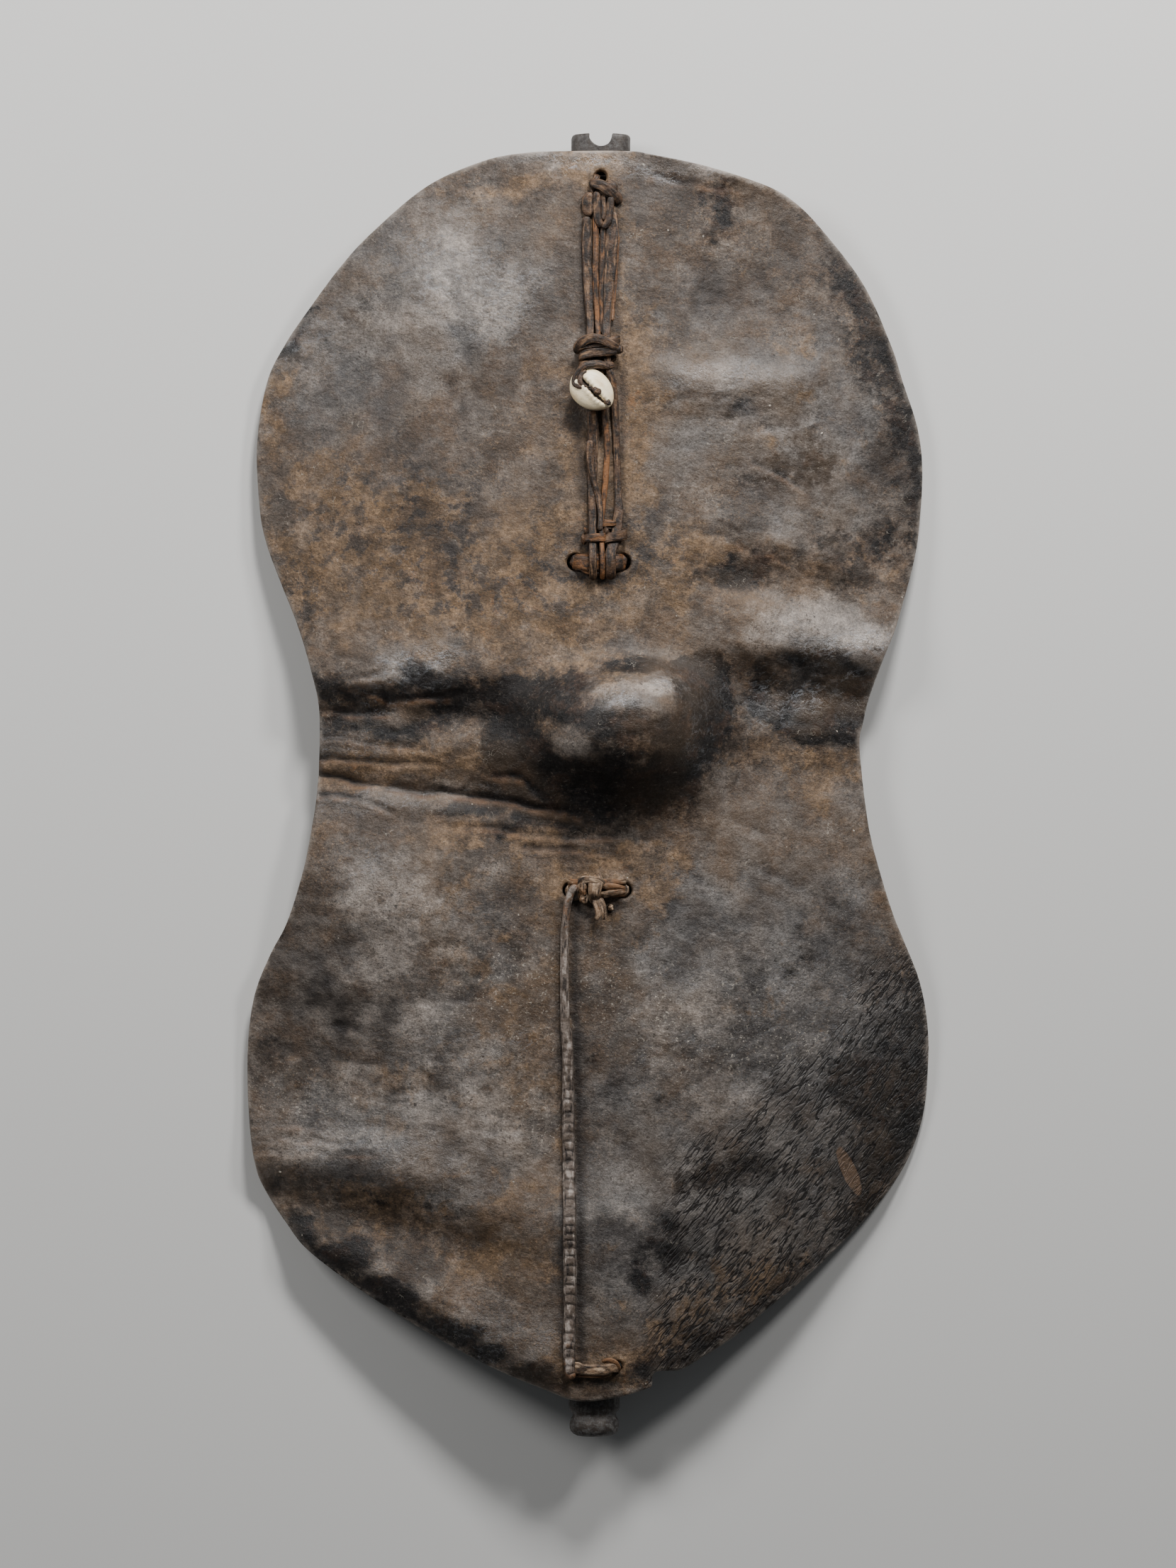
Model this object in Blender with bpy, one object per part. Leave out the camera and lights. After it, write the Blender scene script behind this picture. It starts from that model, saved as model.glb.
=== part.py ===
"""A waisted hide shield with a hand boss, lying on its back, face up.

The hide is one thick rawhide sheet. A forked wooden stave runs behind it from end to end and is its
grip behind the boss. Thongs pass through holes in the hide and round the stave. A bundle of thongs
with a cowrie shell hangs on the upper half, and one long thong runs down the lower half.
Lengths are metres, +Y points to the forked end and +Z out of the face.
"""

import math

import bmesh
import bpy
from mathutils import Vector
from mathutils.geometry import delaunay_2d_cdt

MM = 0.001

# Hide
HIDE_LENGTH = 0.7564
HIDE_WIDTH = 0.4175
HIDE_THICKNESS = 0.005
SIDE_BEND = 0.040
END_BEND = 0.012
BOSS_HEIGHT = 0.040
KNOB_ON_BOSS = 0.006

# Stave
FORK_REACH = 0.0120
KNOB_REACH = 0.0226
STAVE_THICKNESS = 0.020
STAVE_WIDTH = 0.0215
SHOULDER_WIDTH = 0.027
GRIP_WIDTH = 0.023
FORK_WIDTH = 0.036
NECK_WIDTH = 0.031
NOTCH_WIDTH = 0.0146
NOTCH_DEPTH = 0.0080

# The knob at the stave's foot: share of its reach up from the foot, then shares of full width and thickness
KNOB_PROFILE = (
    (0.0, 0.55, 0.60), (0.05, 0.75, 0.82), (0.18, 0.89, 0.97), (0.33, 0.92, 1.0), (0.50, 0.90, 0.98),
    (0.60, 0.84, 0.84), (0.70, 0.99, 0.99), (0.82, 1.0, 1.0),
)
# The fork's end: share of its reach down from the tip, then share of full width and thickness
FORK_PROFILE = ((0.29, 1.0), (0.10, 0.95), (0.0, 0.86))

# Thongs
GAP = 0.0003
LIE_GAP = 0.0008
LASH_GAP = 0.0015
STAVE_GAP = 0.0016
HOLE_CLEARANCE = 0.0010
TOP_THONG = 0.0032
STRAND_THICKNESS = 0.0024
LEFT_STRAND_WIDTH = 0.0056
MIDDLE_STRAND_WIDTH = 0.0034
RIGHT_STRAND_WIDTH = 0.0068
WRAP_WIDTH = 0.0052
WRAP_THICKNESS = 0.0026
SMALL_WRAP_THICKNESS = 0.0018
SLOT_ROLL_WIDTH = 0.0105
SLOT_ROLL_THICKNESS = 0.0050
MID_BAND_WIDTH = 0.0085
MID_BAND_THICKNESS = 0.0044
FOOT_BAND_WIDTH = 0.0070
FOOT_BAND_THICKNESS = 0.0034
LONG_THONG_WIDTH = 0.0066
LONG_THONG_THICKNESS = 0.0030

TOP_KNOT = (0.0165, 0.0125, 0.0066)
TOP_KNOT_LIFT = 0.0040
BIGHT_WIDTH = 0.0092
BIGHT_THICKNESS = 0.0034
TAIL_WIDTH = 0.0056
TAIL_THICKNESS = 0.0032
MID_KNOT = (0.0135, 0.0160, 0.0088)
MID_KNOT_LIFT = 0.0056
MID_TAIL_WIDTH = 0.0066
MID_TAIL_THICKNESS = 0.0024

# Cowrie
COWRIE_LENGTH = 0.0288
COWRIE_WIDTH = 0.0232
COWRIE_HEIGHT = 0.0130
COWRIE_TURN = math.radians(52)
COWRIE_SLIT_DEPTH = 0.0026
# Shares of the shell's half sizes
SLIT_WIDTH = 0.13
SHELL_FULLNESS = 0.85
SHELL_BELOW = 0.8
SHELL_TAPER = 0.10
TIE_THICKNESS = 0.0030

# The form of the hide is laid out on a drawing in millimetres, centred on the hide,
# and stretched to the hide's length and width.
DRAWN_WIDTH = 417.5
DRAWN_LENGTH = 756.4
ACROSS = HIDE_WIDTH / (DRAWN_WIDTH * MM)
ALONG = HIDE_LENGTH / (DRAWN_LENGTH * MM)
HIDE_CENTRE_Y = (KNOB_REACH - FORK_REACH) / 2
FACE_TOP = SIDE_BEND + END_BEND + HIDE_THICKNESS

# The rim, from the left of the top edge down the left side, round the foot and up the right side.
OUTLINE = (
    (-39, 377), (-65, 372), (-99, 357), (-133, 329), (-151, 310), (-168, 288), (-185, 264), (-197, 240),
    (-203, 203), (-202, 169), (-198, 144), (-188, 117), (-178, 92), (-171, 70), (-165, 46), (-164, 22),
    (-166, -12), (-170, -38), (-175, -61), (-184, -89), (-195, -110), (-205, -136), (-209, -170),
    (-208, -208), (-204, -238), (-198, -254), (-185, -273), (-167, -293), (-117, -327), (-64, -356),
    (-25, -372), (-6, -378), (17, -376), (36, -371), (39, -369), (41, -361), (56, -360), (69, -353),
    (90, -340), (111, -323), (134, -305), (160, -281), (179, -261), (193, -241), (202, -221), (207, -200),
    (209, -167), (207, -143), (202, -122), (193, -100), (185, -80), (174, -43), (170, -21), (166, 18),
    (168, 31), (172, 47), (180, 70), (189, 93), (199, 128), (203, 151), (205, 186), (202, 212),
    (193, 240), (185, 264), (168, 300), (142, 333), (125, 349), (107, 358), (73, 369), (39, 376),
    (25, 378), (-13, 378),
)
OUTLINE_STEP = 11.0

# Swellings and hollows: centre, reach to the left, right, down and up, height in millimetres.
SWELLS = (
    (-126, -70, 44, 44, 36, 26, 5.0),
    (-92, 296, 52, 46, 50, 40, 4.0),
    (-118, 176, 60, 52, 60, 46, 3.5),
    (104, -128, 60, 58, 56, 50, 4.0),
    (196, -296, 90, 60, 80, 96, -8.0),
    (86, 298, 26, 30, 42, 40, -3.0),
    (-83, 235, 9, 9, 8, 8, -1.5),
    (150, 205, 40, 40, 50, 50, 3.0),
)

# Folds: from and to, reach above the line and below it, height in millimetres.
FOLDS = (
    (-160, 58, -62, 62, 24, 12, 5.5),
    (-158, 38, -50, 34, 9, 14, -4.0),
    (98, 82, 184, 72, 30, 13, 8.0),
    (104, 50, 170, 44, 12, 18, -6.0),
    (-168, -2, -62, -12, 22, 26, -6.5),
    (100, 6, 170, 4, 24, 30, -6.0),
    (-168, -1, -107, -8, 5, 6, -1.6),
    (-107, -8, -30, -22, 5, 6, -1.6),
    (-160, -11, -60, -24, 6, 7, 1.4),
    (-208, -231, -120, -238, 30, 16, 5.5),
    (-120, -238, -34, -266, 30, 20, 3.5),
    (-200, -258, -66, -286, 12, 18, -3.0),
    (-168, -282, -34, -352, 18, 12, 6.0),
    (4, -270, 3, -384, 46, 60, 9.0),
    (54, 236, 128, 240, 15, 12, 3.5),
    (94, 150, 152, 126, 12, 12, 3.0),
    (84, 116, 150, 108, 14, 10, -2.5),
    (52, 372, 108, 361, 6, 8, 3.0),
    (-196, -118, -150, -128, 14, 16, 3.5),
)
FOLD_FADE = 20.0

# Boss: centre and reach to the left, right, down and up, then the same for the low knob on it.
BOSS = (28, 34, 60, 42, 44, 29)
BOSS_STEEPNESS = 1.5
BOSS_KNOB = (-7, 17, 20, 16, 15, 13)

# The hide's mesh is finer across the boss and the waist.
FINE_STEP = 13.5
COARSE_STEP = 23.5
FINE_BAND = (-62.0, 104.0)
RIM_SPACING = 0.55
HOLE_SPACING = 5.0
HOLE_SIDES = 12

# Places of the lashings on the drawing
TOP_HOLE_Y = 362.0
SLOT_Y = 128.5
MID_Y = -69.5
FOOT_Y = -357.0
KNOT_Y = 256.0
SMALL_WRAP_Y = 144.5
COWRIE_PLACE = (2.5, 231.5)

# The stave's axis leans from one side to the other on its way down.
AXIS_TOP_X = 7.7
AXIS_FOOT_X = 3.9
STAVE_DROP_AT_TOP = TOP_THONG + 4 * GAP
STAVE_SIDES = 14
STAVE_STATIONS = 24
GRIP_REACH = 60.0
SHOULDER_REACH = 45.0
# Where the stave starts to widen to its fork and to its neck, where it starts to drop, and over what length
FORK_FLARE = (340.0, 38.0)
NECK_FLARE = (363.0, 12.0)
TOP_DROP = (290.0, 55.0)

# The thongs are laid out by offsets from the stave's axis and heights above the hide, in millimetres
# at the drawn width of the knot's strip, and keep in step with that width.
DRAWN_WRAP_WIDTH = 5.2
LAYOUT = WRAP_WIDTH / DRAWN_WRAP_WIDTH

# Each strand's offset at the bight, in the knot, under the shell, at the small wraps, over the slot
LEFT_STRAND_PLACES = (-8.1, -5.9, -4.8, -4.2, -3.4)
MIDDLE_STRAND_PLACES = (-2.9, -0.7, 1.1, 1.0, 1.8)
RIGHT_STRAND_PLACES = (6.1, 5.3, 7.0, 11.8, 8.1)
BIGHT_Y = 337.0
UPPER_SPAN_Y = 290.0
LOWER_SPAN_Y = 190.0
HELD_LIFT = 3.8
WRAPPED_LIFT = 5.0
ROLL_LIFT = 6.6
SPAN_LIFT = 0.5
KNOT_HOLD = 10.0
SHELL_HOLD = 9.0
ROLL_HOLD = 6.5

# Wraps: offset, lift, half width and pitch of the turns, and how many turns
KNOT_TURNS = (0.0, 5.8, 10.6, 5.7, 2.5)
LEFT_TURNS = (-2.4, 7.1, 6.0, 5.6, 1.2)
RIGHT_TURNS = (12.6, 7.1, 4.8, 6.0, 1.2)
LEFT_WRAP_WIDTH = 0.0050
RIGHT_WRAP_WIDTH = 0.0054
TURN_SIDES = 10

# Places on the single thongs: offset from the axis, place along the drawing, height
TOP_BIGHT = ((0.0, 356, 2.4), (1.6, 350, 3.0), (1.7, 341, 3.2), (1.8, 333, 2.8))
TOP_TAIL = ((-4.0, 357, 1.4), (-7.9, 351, 0.4), (-7.8, 341, 0.2))
COWRIE_TIE = ((4.0, 246.3), (-1.0, 245.6), (-8.5, 243.6), (-10.6, 239.0), (-7.5, 234.6), (-5.4, 232.4))
MID_TAIL = ((-1.4, -74.5, 2.6), (2.1, -81.5, 1.2), (3.6, -90.5, 0.2))
LONG_THONG = (
    (-14.9, -76.0, 0.4), (-18.8, -81.5, 0.0), (-19.5, -103.0, 0.0), (-18.9, -149.0, 0.0),
    (-17.5, -166.0, 0.0), (-16.1, -261.0, 0.0), (-19.3, -347.0, 0.0), (-19.4, -361.0, 0.0),
)
LONG_THONG_TAPER = (0.62, 1.10)
MID_KNOT_OFFSET = -3.4
STRIP_STEP = 10.0
SHORT_STRIP_STEP = 5.0


def clear_scene():
    for thing in list(bpy.data.objects):
        bpy.data.objects.remove(thing, do_unlink=True)


def material(name, colour, roughness):
    made = bpy.data.materials.new(name)
    made.use_nodes = True
    shader = made.node_tree.nodes["Principled BSDF"]
    shader.inputs["Base Color"].default_value = (*colour, 1.0)
    shader.inputs["Roughness"].default_value = roughness
    shader.inputs["Metallic"].default_value = 0.0
    return made


def new_object(name, mesh, finish):
    made = bpy.data.objects.new(name, mesh)
    bpy.context.scene.collection.objects.link(made)
    made.data.materials.append(finish)
    return made


def on_drawing(x, y):
    return x / ACROSS / MM, (y - HIDE_CENTRE_Y) / ALONG / MM


def from_drawing(x, y):
    return x * ACROSS * MM, y * ALONG * MM + HIDE_CENTRE_Y


def swell(x, y, place, power=1.0):
    """1 at the place's centre, falling away smoothly over its own reach on each side."""
    centre_x, centre_y, left, right, down, up = place
    u = (x - centre_x) / (right if x > centre_x else left)
    v = (y - centre_y) / (up if y > centre_y else down)
    return math.exp(-((u * u + v * v) ** power))


def fold(x, y, line):
    """1 along the line, falling away over its own reach above and below it and past its ends."""
    start_x, start_y, end_x, end_y, above, below = line
    length = math.hypot(end_x - start_x, end_y - start_y)
    run_x = (end_x - start_x) / length
    run_y = (end_y - start_y) / length
    along = (x - start_x) * run_x + (y - start_y) * run_y
    across = (y - start_y) * run_x - (x - start_x) * run_y
    past = max(-along, along - length, 0.0)
    side = above if across > 0 else below
    return math.exp(-((across / side) ** 2) - (past / FOLD_FADE) ** 2)


def sheet_height(x, y):
    """Height of the hide's face at a point, without the boss."""
    u = 2 * x / HIDE_WIDTH
    v = 2 * (y - HIDE_CENTRE_Y) / HIDE_LENGTH
    height = FACE_TOP - SIDE_BEND * u * u - END_BEND * v * v
    drawn_x, drawn_y = on_drawing(x, y)
    for *place, rise in SWELLS:
        height += rise * MM * swell(drawn_x, drawn_y, place)
    for *line, rise in FOLDS:
        height += rise * MM * fold(drawn_x, drawn_y, line)
    return height


def face_height(x, y):
    """Height of the hide's face at a point."""
    drawn_x, drawn_y = on_drawing(x, y)
    boss = BOSS_HEIGHT * swell(drawn_x, drawn_y, BOSS, BOSS_STEEPNESS)
    knob = KNOB_ON_BOSS * swell(drawn_x, drawn_y, BOSS_KNOB)
    return sheet_height(x, y) + boss + knob


def spline(before, start, end, after, share):
    """A point on the smooth curve that runs from start to end."""
    return 0.5 * (
        2 * start
        + (end - before) * share
        + (2 * before - 5 * start + 4 * end - after) * share**2
        + (3 * start - before - 3 * end + after) * share**3
    )


def smooth_curve(points, step, closed=False):
    """Points about a step apart on a smooth curve through the given ones."""
    points = [Vector(point) for point in points]
    if closed:
        padded = [points[-1], *points, points[0], points[1]]
    else:
        padded = [2 * points[0] - points[1], *points, 2 * points[-1] - points[-2]]
    curve = []
    for i in range(1, len(padded) - 2):
        before, start, end, after = padded[i - 1 : i + 3]
        count = max(1, round((end - start).length / step))
        curve += [spline(before, start, end, after, j / count) for j in range(count)]
    return curve if closed else curve + [points[-1]]


def rim():
    """The hide's outline on the drawing, fitted to the drawing's exact width and length."""
    curve = smooth_curve(OUTLINE, OUTLINE_STEP, closed=True)
    low_x, high_x = min(p.x for p in curve), max(p.x for p in curve)
    low_y, high_y = min(p.y for p in curve), max(p.y for p in curve)
    return [
        Vector((
            ((p.x - low_x) / (high_x - low_x) - 0.5) * DRAWN_WIDTH,
            ((p.y - low_y) / (high_y - low_y) - 0.5) * DRAWN_LENGTH,
        ))
        for p in curve
    ]


def inside(point, loop):
    """Whether a point lies inside a closed loop of points."""
    within = False
    for a, b in zip(loop, loop[1:] + loop[:1]):
        crosses = (a.y > point.y) != (b.y > point.y)
        if crosses and point.x < a.x + (b.x - a.x) * (point.y - a.y) / (b.y - a.y):
            within = not within
    return within


def distance_to(point, loop):
    """Shortest distance from a point to a closed loop of points."""
    shortest = math.inf
    for a, b in zip(loop, loop[1:] + loop[:1]):
        run = b - a
        share = max(0.0, min(1.0, (point - a).dot(run) / run.length_squared))
        shortest = min(shortest, (point - a - run * share).length)
    return shortest


def stave_x(y):
    """The stave's axis from side to side at a height on the shield."""
    share = (y - HIDE_CENTRE_Y) / HIDE_LENGTH + 0.5
    return (AXIS_FOOT_X + (AXIS_TOP_X - AXIS_FOOT_X) * share) * ACROSS * MM


def stave_width(y):
    """The stave's width: wide at its fork and neck, even between them, round at the grip."""
    drawn_y = on_drawing(0.0, y)[1]
    grip = math.exp(-(((drawn_y - BOSS[1]) / GRIP_REACH) ** 4))
    width = STAVE_WIDTH + (GRIP_WIDTH - STAVE_WIDTH) * grip
    to_fork = ease((drawn_y - FORK_FLARE[0]) / FORK_FLARE[1])
    to_neck = ease((-drawn_y - NECK_FLARE[0]) / NECK_FLARE[1])
    shoulder = math.exp(-(((drawn_y - MID_Y) / SHOULDER_REACH) ** 2))
    width += (FORK_WIDTH - STAVE_WIDTH) * to_fork
    width += (SHOULDER_WIDTH - STAVE_WIDTH) * shoulder
    return width + (NECK_WIDTH - STAVE_WIDTH) * to_neck


def ease(share):
    share = max(0.0, min(1.0, share))
    return share * share * (3 - 2 * share)


def stave_top(y):
    """The crown of the stave under the hide, lower where a thong lies between them."""
    held = max(min(y, HIDE_CENTRE_Y + HIDE_LENGTH / 2), HIDE_CENTRE_Y - HIDE_LENGTH / 2)
    drop = STAVE_DROP_AT_TOP * ease((on_drawing(0.0, y)[1] - TOP_DROP[0]) / TOP_DROP[1])
    return sheet_height(stave_x(y), held) - HIDE_THICKNESS - STAVE_GAP - drop


def hole_pair(drawn_y, thickness):
    """The two places where a lashing goes through the hide, close beside the stave."""
    y = from_drawing(0.0, drawn_y)[1]
    reach = stave_width(y) / 2 + HOLE_CLEARANCE + thickness / 2
    return [(stave_x(y) - reach, y), (stave_x(y) + reach, y)]


def holes():
    """Every hole in the hide: its centre and its radius."""
    top_y = from_drawing(0.0, TOP_HOLE_Y)[1]
    made = [(stave_x(top_y), top_y, TOP_THONG + HOLE_CLEARANCE)]
    for drawn_y, width, thickness in (
        (SLOT_Y, SLOT_ROLL_WIDTH, SLOT_ROLL_THICKNESS),
        (MID_Y, MID_BAND_WIDTH, MID_BAND_THICKNESS),
        (FOOT_Y, FOOT_BAND_WIDTH, FOOT_BAND_THICKNESS),
    ):
        for x, y in hole_pair(drawn_y, thickness):
            made.append((x, y, width / 2 + HOLE_CLEARANCE))
    return made


def build_hide(finish):
    """The sheet as triangles inside its outline and round its holes, thickened backwards."""
    outline = rim()
    openings = []
    for x, y, radius in holes():
        drawn_x, drawn_y = on_drawing(x, y)
        ring = [
            Vector((
                drawn_x + radius / ACROSS / MM * math.cos(math.tau * i / HOLE_SIDES),
                drawn_y + radius / ALONG / MM * math.sin(math.tau * i / HOLE_SIDES),
            ))
            for i in range(HOLE_SIDES)
        ]
        openings.append(ring)
    points = list(outline)
    edges = [(i, (i + 1) % len(outline)) for i in range(len(outline))]
    for ring in openings:
        first = len(points)
        points += ring
        edges += [(first + i, first + (i + 1) % len(ring)) for i in range(len(ring))]
    row_y = -DRAWN_LENGTH / 2
    shifted = False
    while row_y < DRAWN_LENGTH / 2:
        fine = FINE_BAND[0] < row_y < FINE_BAND[1]
        step = FINE_STEP if fine else COARSE_STEP
        row_x = -DRAWN_WIDTH / 2 + (step / 2 if shifted else 0.0)
        while row_x < DRAWN_WIDTH / 2:
            spot = Vector((row_x, row_y))
            clear = inside(spot, outline) and distance_to(spot, outline) > step * RIM_SPACING
            if clear and all(distance_to(spot, ring) > HOLE_SPACING for ring in openings):
                if not any(inside(spot, ring) for ring in openings):
                    points.append(spot)
            row_x += step
        row_y += step * math.sqrt(0.75)
        shifted = not shifted
    flat_points, _, faces, *_ = delaunay_2d_cdt(points, edges, [], 1, 1e-4)
    mesh = bpy.data.meshes.new("hide")
    corners = []
    for point in flat_points:
        x, y = from_drawing(point.x, point.y)
        corners.append((x, y, face_height(x, y)))
    kept = []
    for face in faces:
        middle = sum((flat_points[i] for i in face), Vector((0.0, 0.0))) / len(face)
        if not any(inside(middle, ring) for ring in openings):
            kept.append(face)
    mesh.from_pydata(corners, [], kept)
    mesh.shade_smooth()
    hide = new_object("hide", mesh, finish)
    thicken = hide.modifiers.new("thickness", "SOLIDIFY")
    thicken.thickness = HIDE_THICKNESS
    thicken.offset = -1.0
    thicken.use_even_offset = True
    return hide


def rings_object(name, rings, finish, closed=False):
    """A body through rings of points, its ends closed by faces or joined to each other."""
    mesh = bpy.data.meshes.new(name)
    bm = bmesh.new()
    loops = [[bm.verts.new(point) for point in ring] for ring in rings]
    pairs = list(zip(loops, loops[1:]))
    if closed:
        pairs.append((loops[-1], loops[0]))
    for near, far in pairs:
        for i in range(len(near)):
            j = (i + 1) % len(near)
            bm.faces.new((near[i], near[j], far[j], far[i]))
    if not closed:
        bm.faces.new(loops[0][::-1])
        bm.faces.new(loops[-1])
    bmesh.ops.recalc_face_normals(bm, faces=bm.faces)
    bm.to_mesh(mesh)
    bm.free()
    mesh.shade_smooth()
    mesh.set_sharp_from_angle(angle=math.radians(60))
    return new_object(name, mesh, finish)


def build_stave(finish):
    """An oval rod along a bowed line, with a waisted neck and a rounded knob at its foot."""
    top = HIDE_CENTRE_Y + HIDE_LENGTH / 2 + FORK_REACH
    foot = HIDE_CENTRE_Y - HIDE_LENGTH / 2 - KNOB_REACH
    end = top - FORK_REACH * FORK_PROFILE[0][0]
    lashed = from_drawing(0.0, FOOT_Y)[1]
    lengths = [lashed - FOOT_BAND_WIDTH, lashed + FOOT_BAND_WIDTH]
    lengths += [lashed + (end - lashed) * i / STAVE_STATIONS for i in range(1, STAVE_STATIONS)]
    stations = [(foot + KNOB_REACH * up, width, thick) for up, width, thick in KNOB_PROFILE]
    stations += [(y, 1.0, 1.0) for y in lengths]
    stations += [(top - FORK_REACH * down, share, share) for down, share in FORK_PROFILE]
    rings = []
    for y, wide, thick in stations:
        half_width = stave_width(y) / 2 * wide
        half_thick = STAVE_THICKNESS / 2 * thick
        centre = Vector((stave_x(y), y, stave_top(y) - STAVE_THICKNESS / 2))
        ring = []
        for i in range(STAVE_SIDES):
            angle = math.tau * i / STAVE_SIDES
            side = half_width * math.copysign(abs(math.cos(angle)) ** 0.9, math.cos(angle))
            ring.append(centre + Vector((side, 0.0, half_thick * math.sin(angle))))
        rings.append(ring)
    stave = rings_object("stave", rings, finish)
    mesh = bpy.data.meshes.new("notch_cutter")
    bm = bmesh.new()
    radius = NOTCH_WIDTH / 2
    bmesh.ops.create_cone(
        bm, cap_ends=True, segments=18, radius1=radius, radius2=radius, depth=3 * STAVE_THICKNESS
    )
    bm.to_mesh(mesh)
    bm.free()
    cutter = bpy.data.objects.new("notch_cutter", mesh)
    bpy.context.scene.collection.objects.link(cutter)
    cutter.location = (stave_x(top), top - NOTCH_DEPTH + radius, stave_top(top))
    cutter.hide_render = True
    cutter.display_type = "WIRE"
    cut = stave.modifiers.new("notch", "BOOLEAN")
    cut.operation = "DIFFERENCE"
    cut.object = cutter
    return stave


def strip_section(width, thickness):
    """A flat strip's rounded section, as side and upward offsets."""
    half_width = width / 2
    half_thick = thickness / 2
    bevel = min(half_thick * 0.8, half_width * 0.45)
    return [
        (half_width, half_thick * 0.35), (half_width - bevel, half_thick),
        (bevel - half_width, half_thick), (-half_width, half_thick * 0.35),
        (-half_width, -half_thick * 0.35), (bevel - half_width, -half_thick),
        (half_width - bevel, -half_thick), (half_width, -half_thick * 0.35),
    ]


def strip(name, route, ups, widths, thickness, finish, closed=False):
    """A strip of hide along a route, its flat side towards the given directions."""
    rings = []
    count = len(route)
    for i, (point, up) in enumerate(zip(route, ups)):
        if closed:
            run = route[(i + 1) % count] - route[i - 1]
        else:
            run = route[min(i + 1, count - 1)] - route[max(i - 1, 0)]
        run.normalize()
        side = run.cross(up).normalized()
        lift = side.cross(run)
        width = widths(i / max(1, count - 1))
        rings.append([point + side * a + lift * b for a, b in strip_section(width, thickness)])
    return rings_object(name, rings, finish, closed)


def beside_axis(offset, drawn_y):
    """A place on the shield by its offset from the stave's axis and its place along the drawing."""
    y = from_drawing(0.0, drawn_y)[1]
    return stave_x(y) + offset * LAYOUT, y


def lying_strip(name, places, width, thickness, finish, step=STRIP_STEP, taper=None):
    """A strip that lies on the hide, along places given as offset, place along and height."""
    route = []
    half = width / 2
    back = step * MM / 2
    for place in smooth_curve(places, step):
        x, y = beside_axis(place.x, place.y)
        clear = max(face_height(x + dx, y + dy) for dx in (-half, 0.0, half) for dy in (-back, 0.0))
        route.append(Vector((x, y, clear + place.z * LAYOUT + thickness / 2 + LIE_GAP)))
    ups = [Vector((0.0, 0.0, 1.0))] * len(route)
    widths = taper or (lambda share: width)
    return strip(name, route, ups, widths, thickness, finish)


def oval_loop(half_width, half_height, squareness, count):
    """A closed loop round a bundle, as side and upward offsets from its middle."""
    loop = []
    for i in range(count):
        angle = math.tau * i / count
        c, s = math.cos(angle), math.sin(angle)
        loop.append((
            half_width * math.copysign(abs(c) ** squareness, c),
            half_height * math.copysign(abs(s) ** squareness, s),
        ))
    return loop


def wound_strip(name, drawn_y, turns, half_height, width, thickness, finish):
    """A strip wound round a bundle that runs up the shield, turn beside turn."""
    offset, lift, half_width, pitch, count = turns
    x, y = beside_axis(offset, drawn_y)
    centre = Vector((x, y, face_height(x, y) + lift * LAYOUT))
    half_width *= LAYOUT
    loop = oval_loop(half_width + thickness / 2, half_height + thickness / 2, 0.5, TURN_SIDES)
    route = []
    ups = []
    for i in range(round(count * TURN_SIDES) + 1):
        side, rise = loop[i % TURN_SIDES]
        drop = pitch * LAYOUT * (i / TURN_SIDES - count / 2)
        route.append(centre + Vector((side, -drop, rise)))
        ups.append(Vector((side / half_width, 0.0, rise / half_height)).normalized())
    return strip(name, route, ups, lambda share: width, thickness, finish)


def ring_strip(name, centre, half_width, half_height, width, thickness, finish):
    """A closed strip round a bundle that runs up the shield."""
    loop = oval_loop(half_width + thickness / 2, half_height + thickness / 2, 0.8, 20)
    route = [centre + Vector((side, 0.0, lift)) for side, lift in loop]
    ups = [Vector((side, 0.0, lift)).normalized() for side, lift in loop]
    return strip(name, route, ups, lambda share: width, thickness, finish, closed=True)


def lashing(name, drawn_y, width, thickness, finish):
    """A closed band: over the face, down through two holes and round the back of the stave."""
    (left, y), (right, _) = hole_pair(drawn_y, thickness)
    crown = stave_top(y)
    back = crown - STAVE_THICKNESS - GAP - thickness / 2
    middle = (left + right) / 2
    over = max(face_height(x, y + dy) for x in (left, middle, right) for dy in (-width / 2, 0, width / 2))
    front = over + LASH_GAP + thickness / 2
    corner = thickness * 0.9
    waist = crown - STAVE_THICKNESS / 2
    route = [
        (left, y, waist), (left, y, crown), (left, y, front - corner),
        (left + corner * 0.35, y, front - corner * 0.35), (left + corner, y, front),
        (middle, y, front), (right - corner, y, front),
        (right - corner * 0.35, y, front - corner * 0.35), (right, y, front - corner),
        (right, y, crown), (right, y, waist), (right, y, back + corner),
        (right - corner * 0.35, y, back + corner * 0.35), (right - corner, y, back),
        (middle, y, back), (left + corner, y, back),
        (left + corner * 0.35, y, back + corner * 0.35), (left, y, back + corner),
    ]
    route = [Vector(point) for point in route]
    centre = Vector((middle, y, (front + back) / 2))
    ups = []
    for i, point in enumerate(route):
        run = route[(i + 1) % len(route)] - route[i - 1]
        out = run.cross(Vector((0.0, 1.0, 0.0))).normalized()
        ups.append(out if out.dot(point - centre) > 0 else -out)
    return strip(name, route, ups, lambda share: width, thickness, finish, closed=True)


def ball(name, centre, sizes, finish):
    """A rounded lump of the given sizes."""
    mesh = bpy.data.meshes.new(name)
    bm = bmesh.new()
    bmesh.ops.create_icosphere(bm, subdivisions=2, radius=0.5)
    bmesh.ops.scale(bm, vec=Vector(sizes), verts=bm.verts)
    bmesh.ops.translate(bm, vec=Vector(centre), verts=bm.verts)
    bm.to_mesh(mesh)
    bm.free()
    mesh.shade_smooth()
    return new_object(name, mesh, finish)


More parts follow.
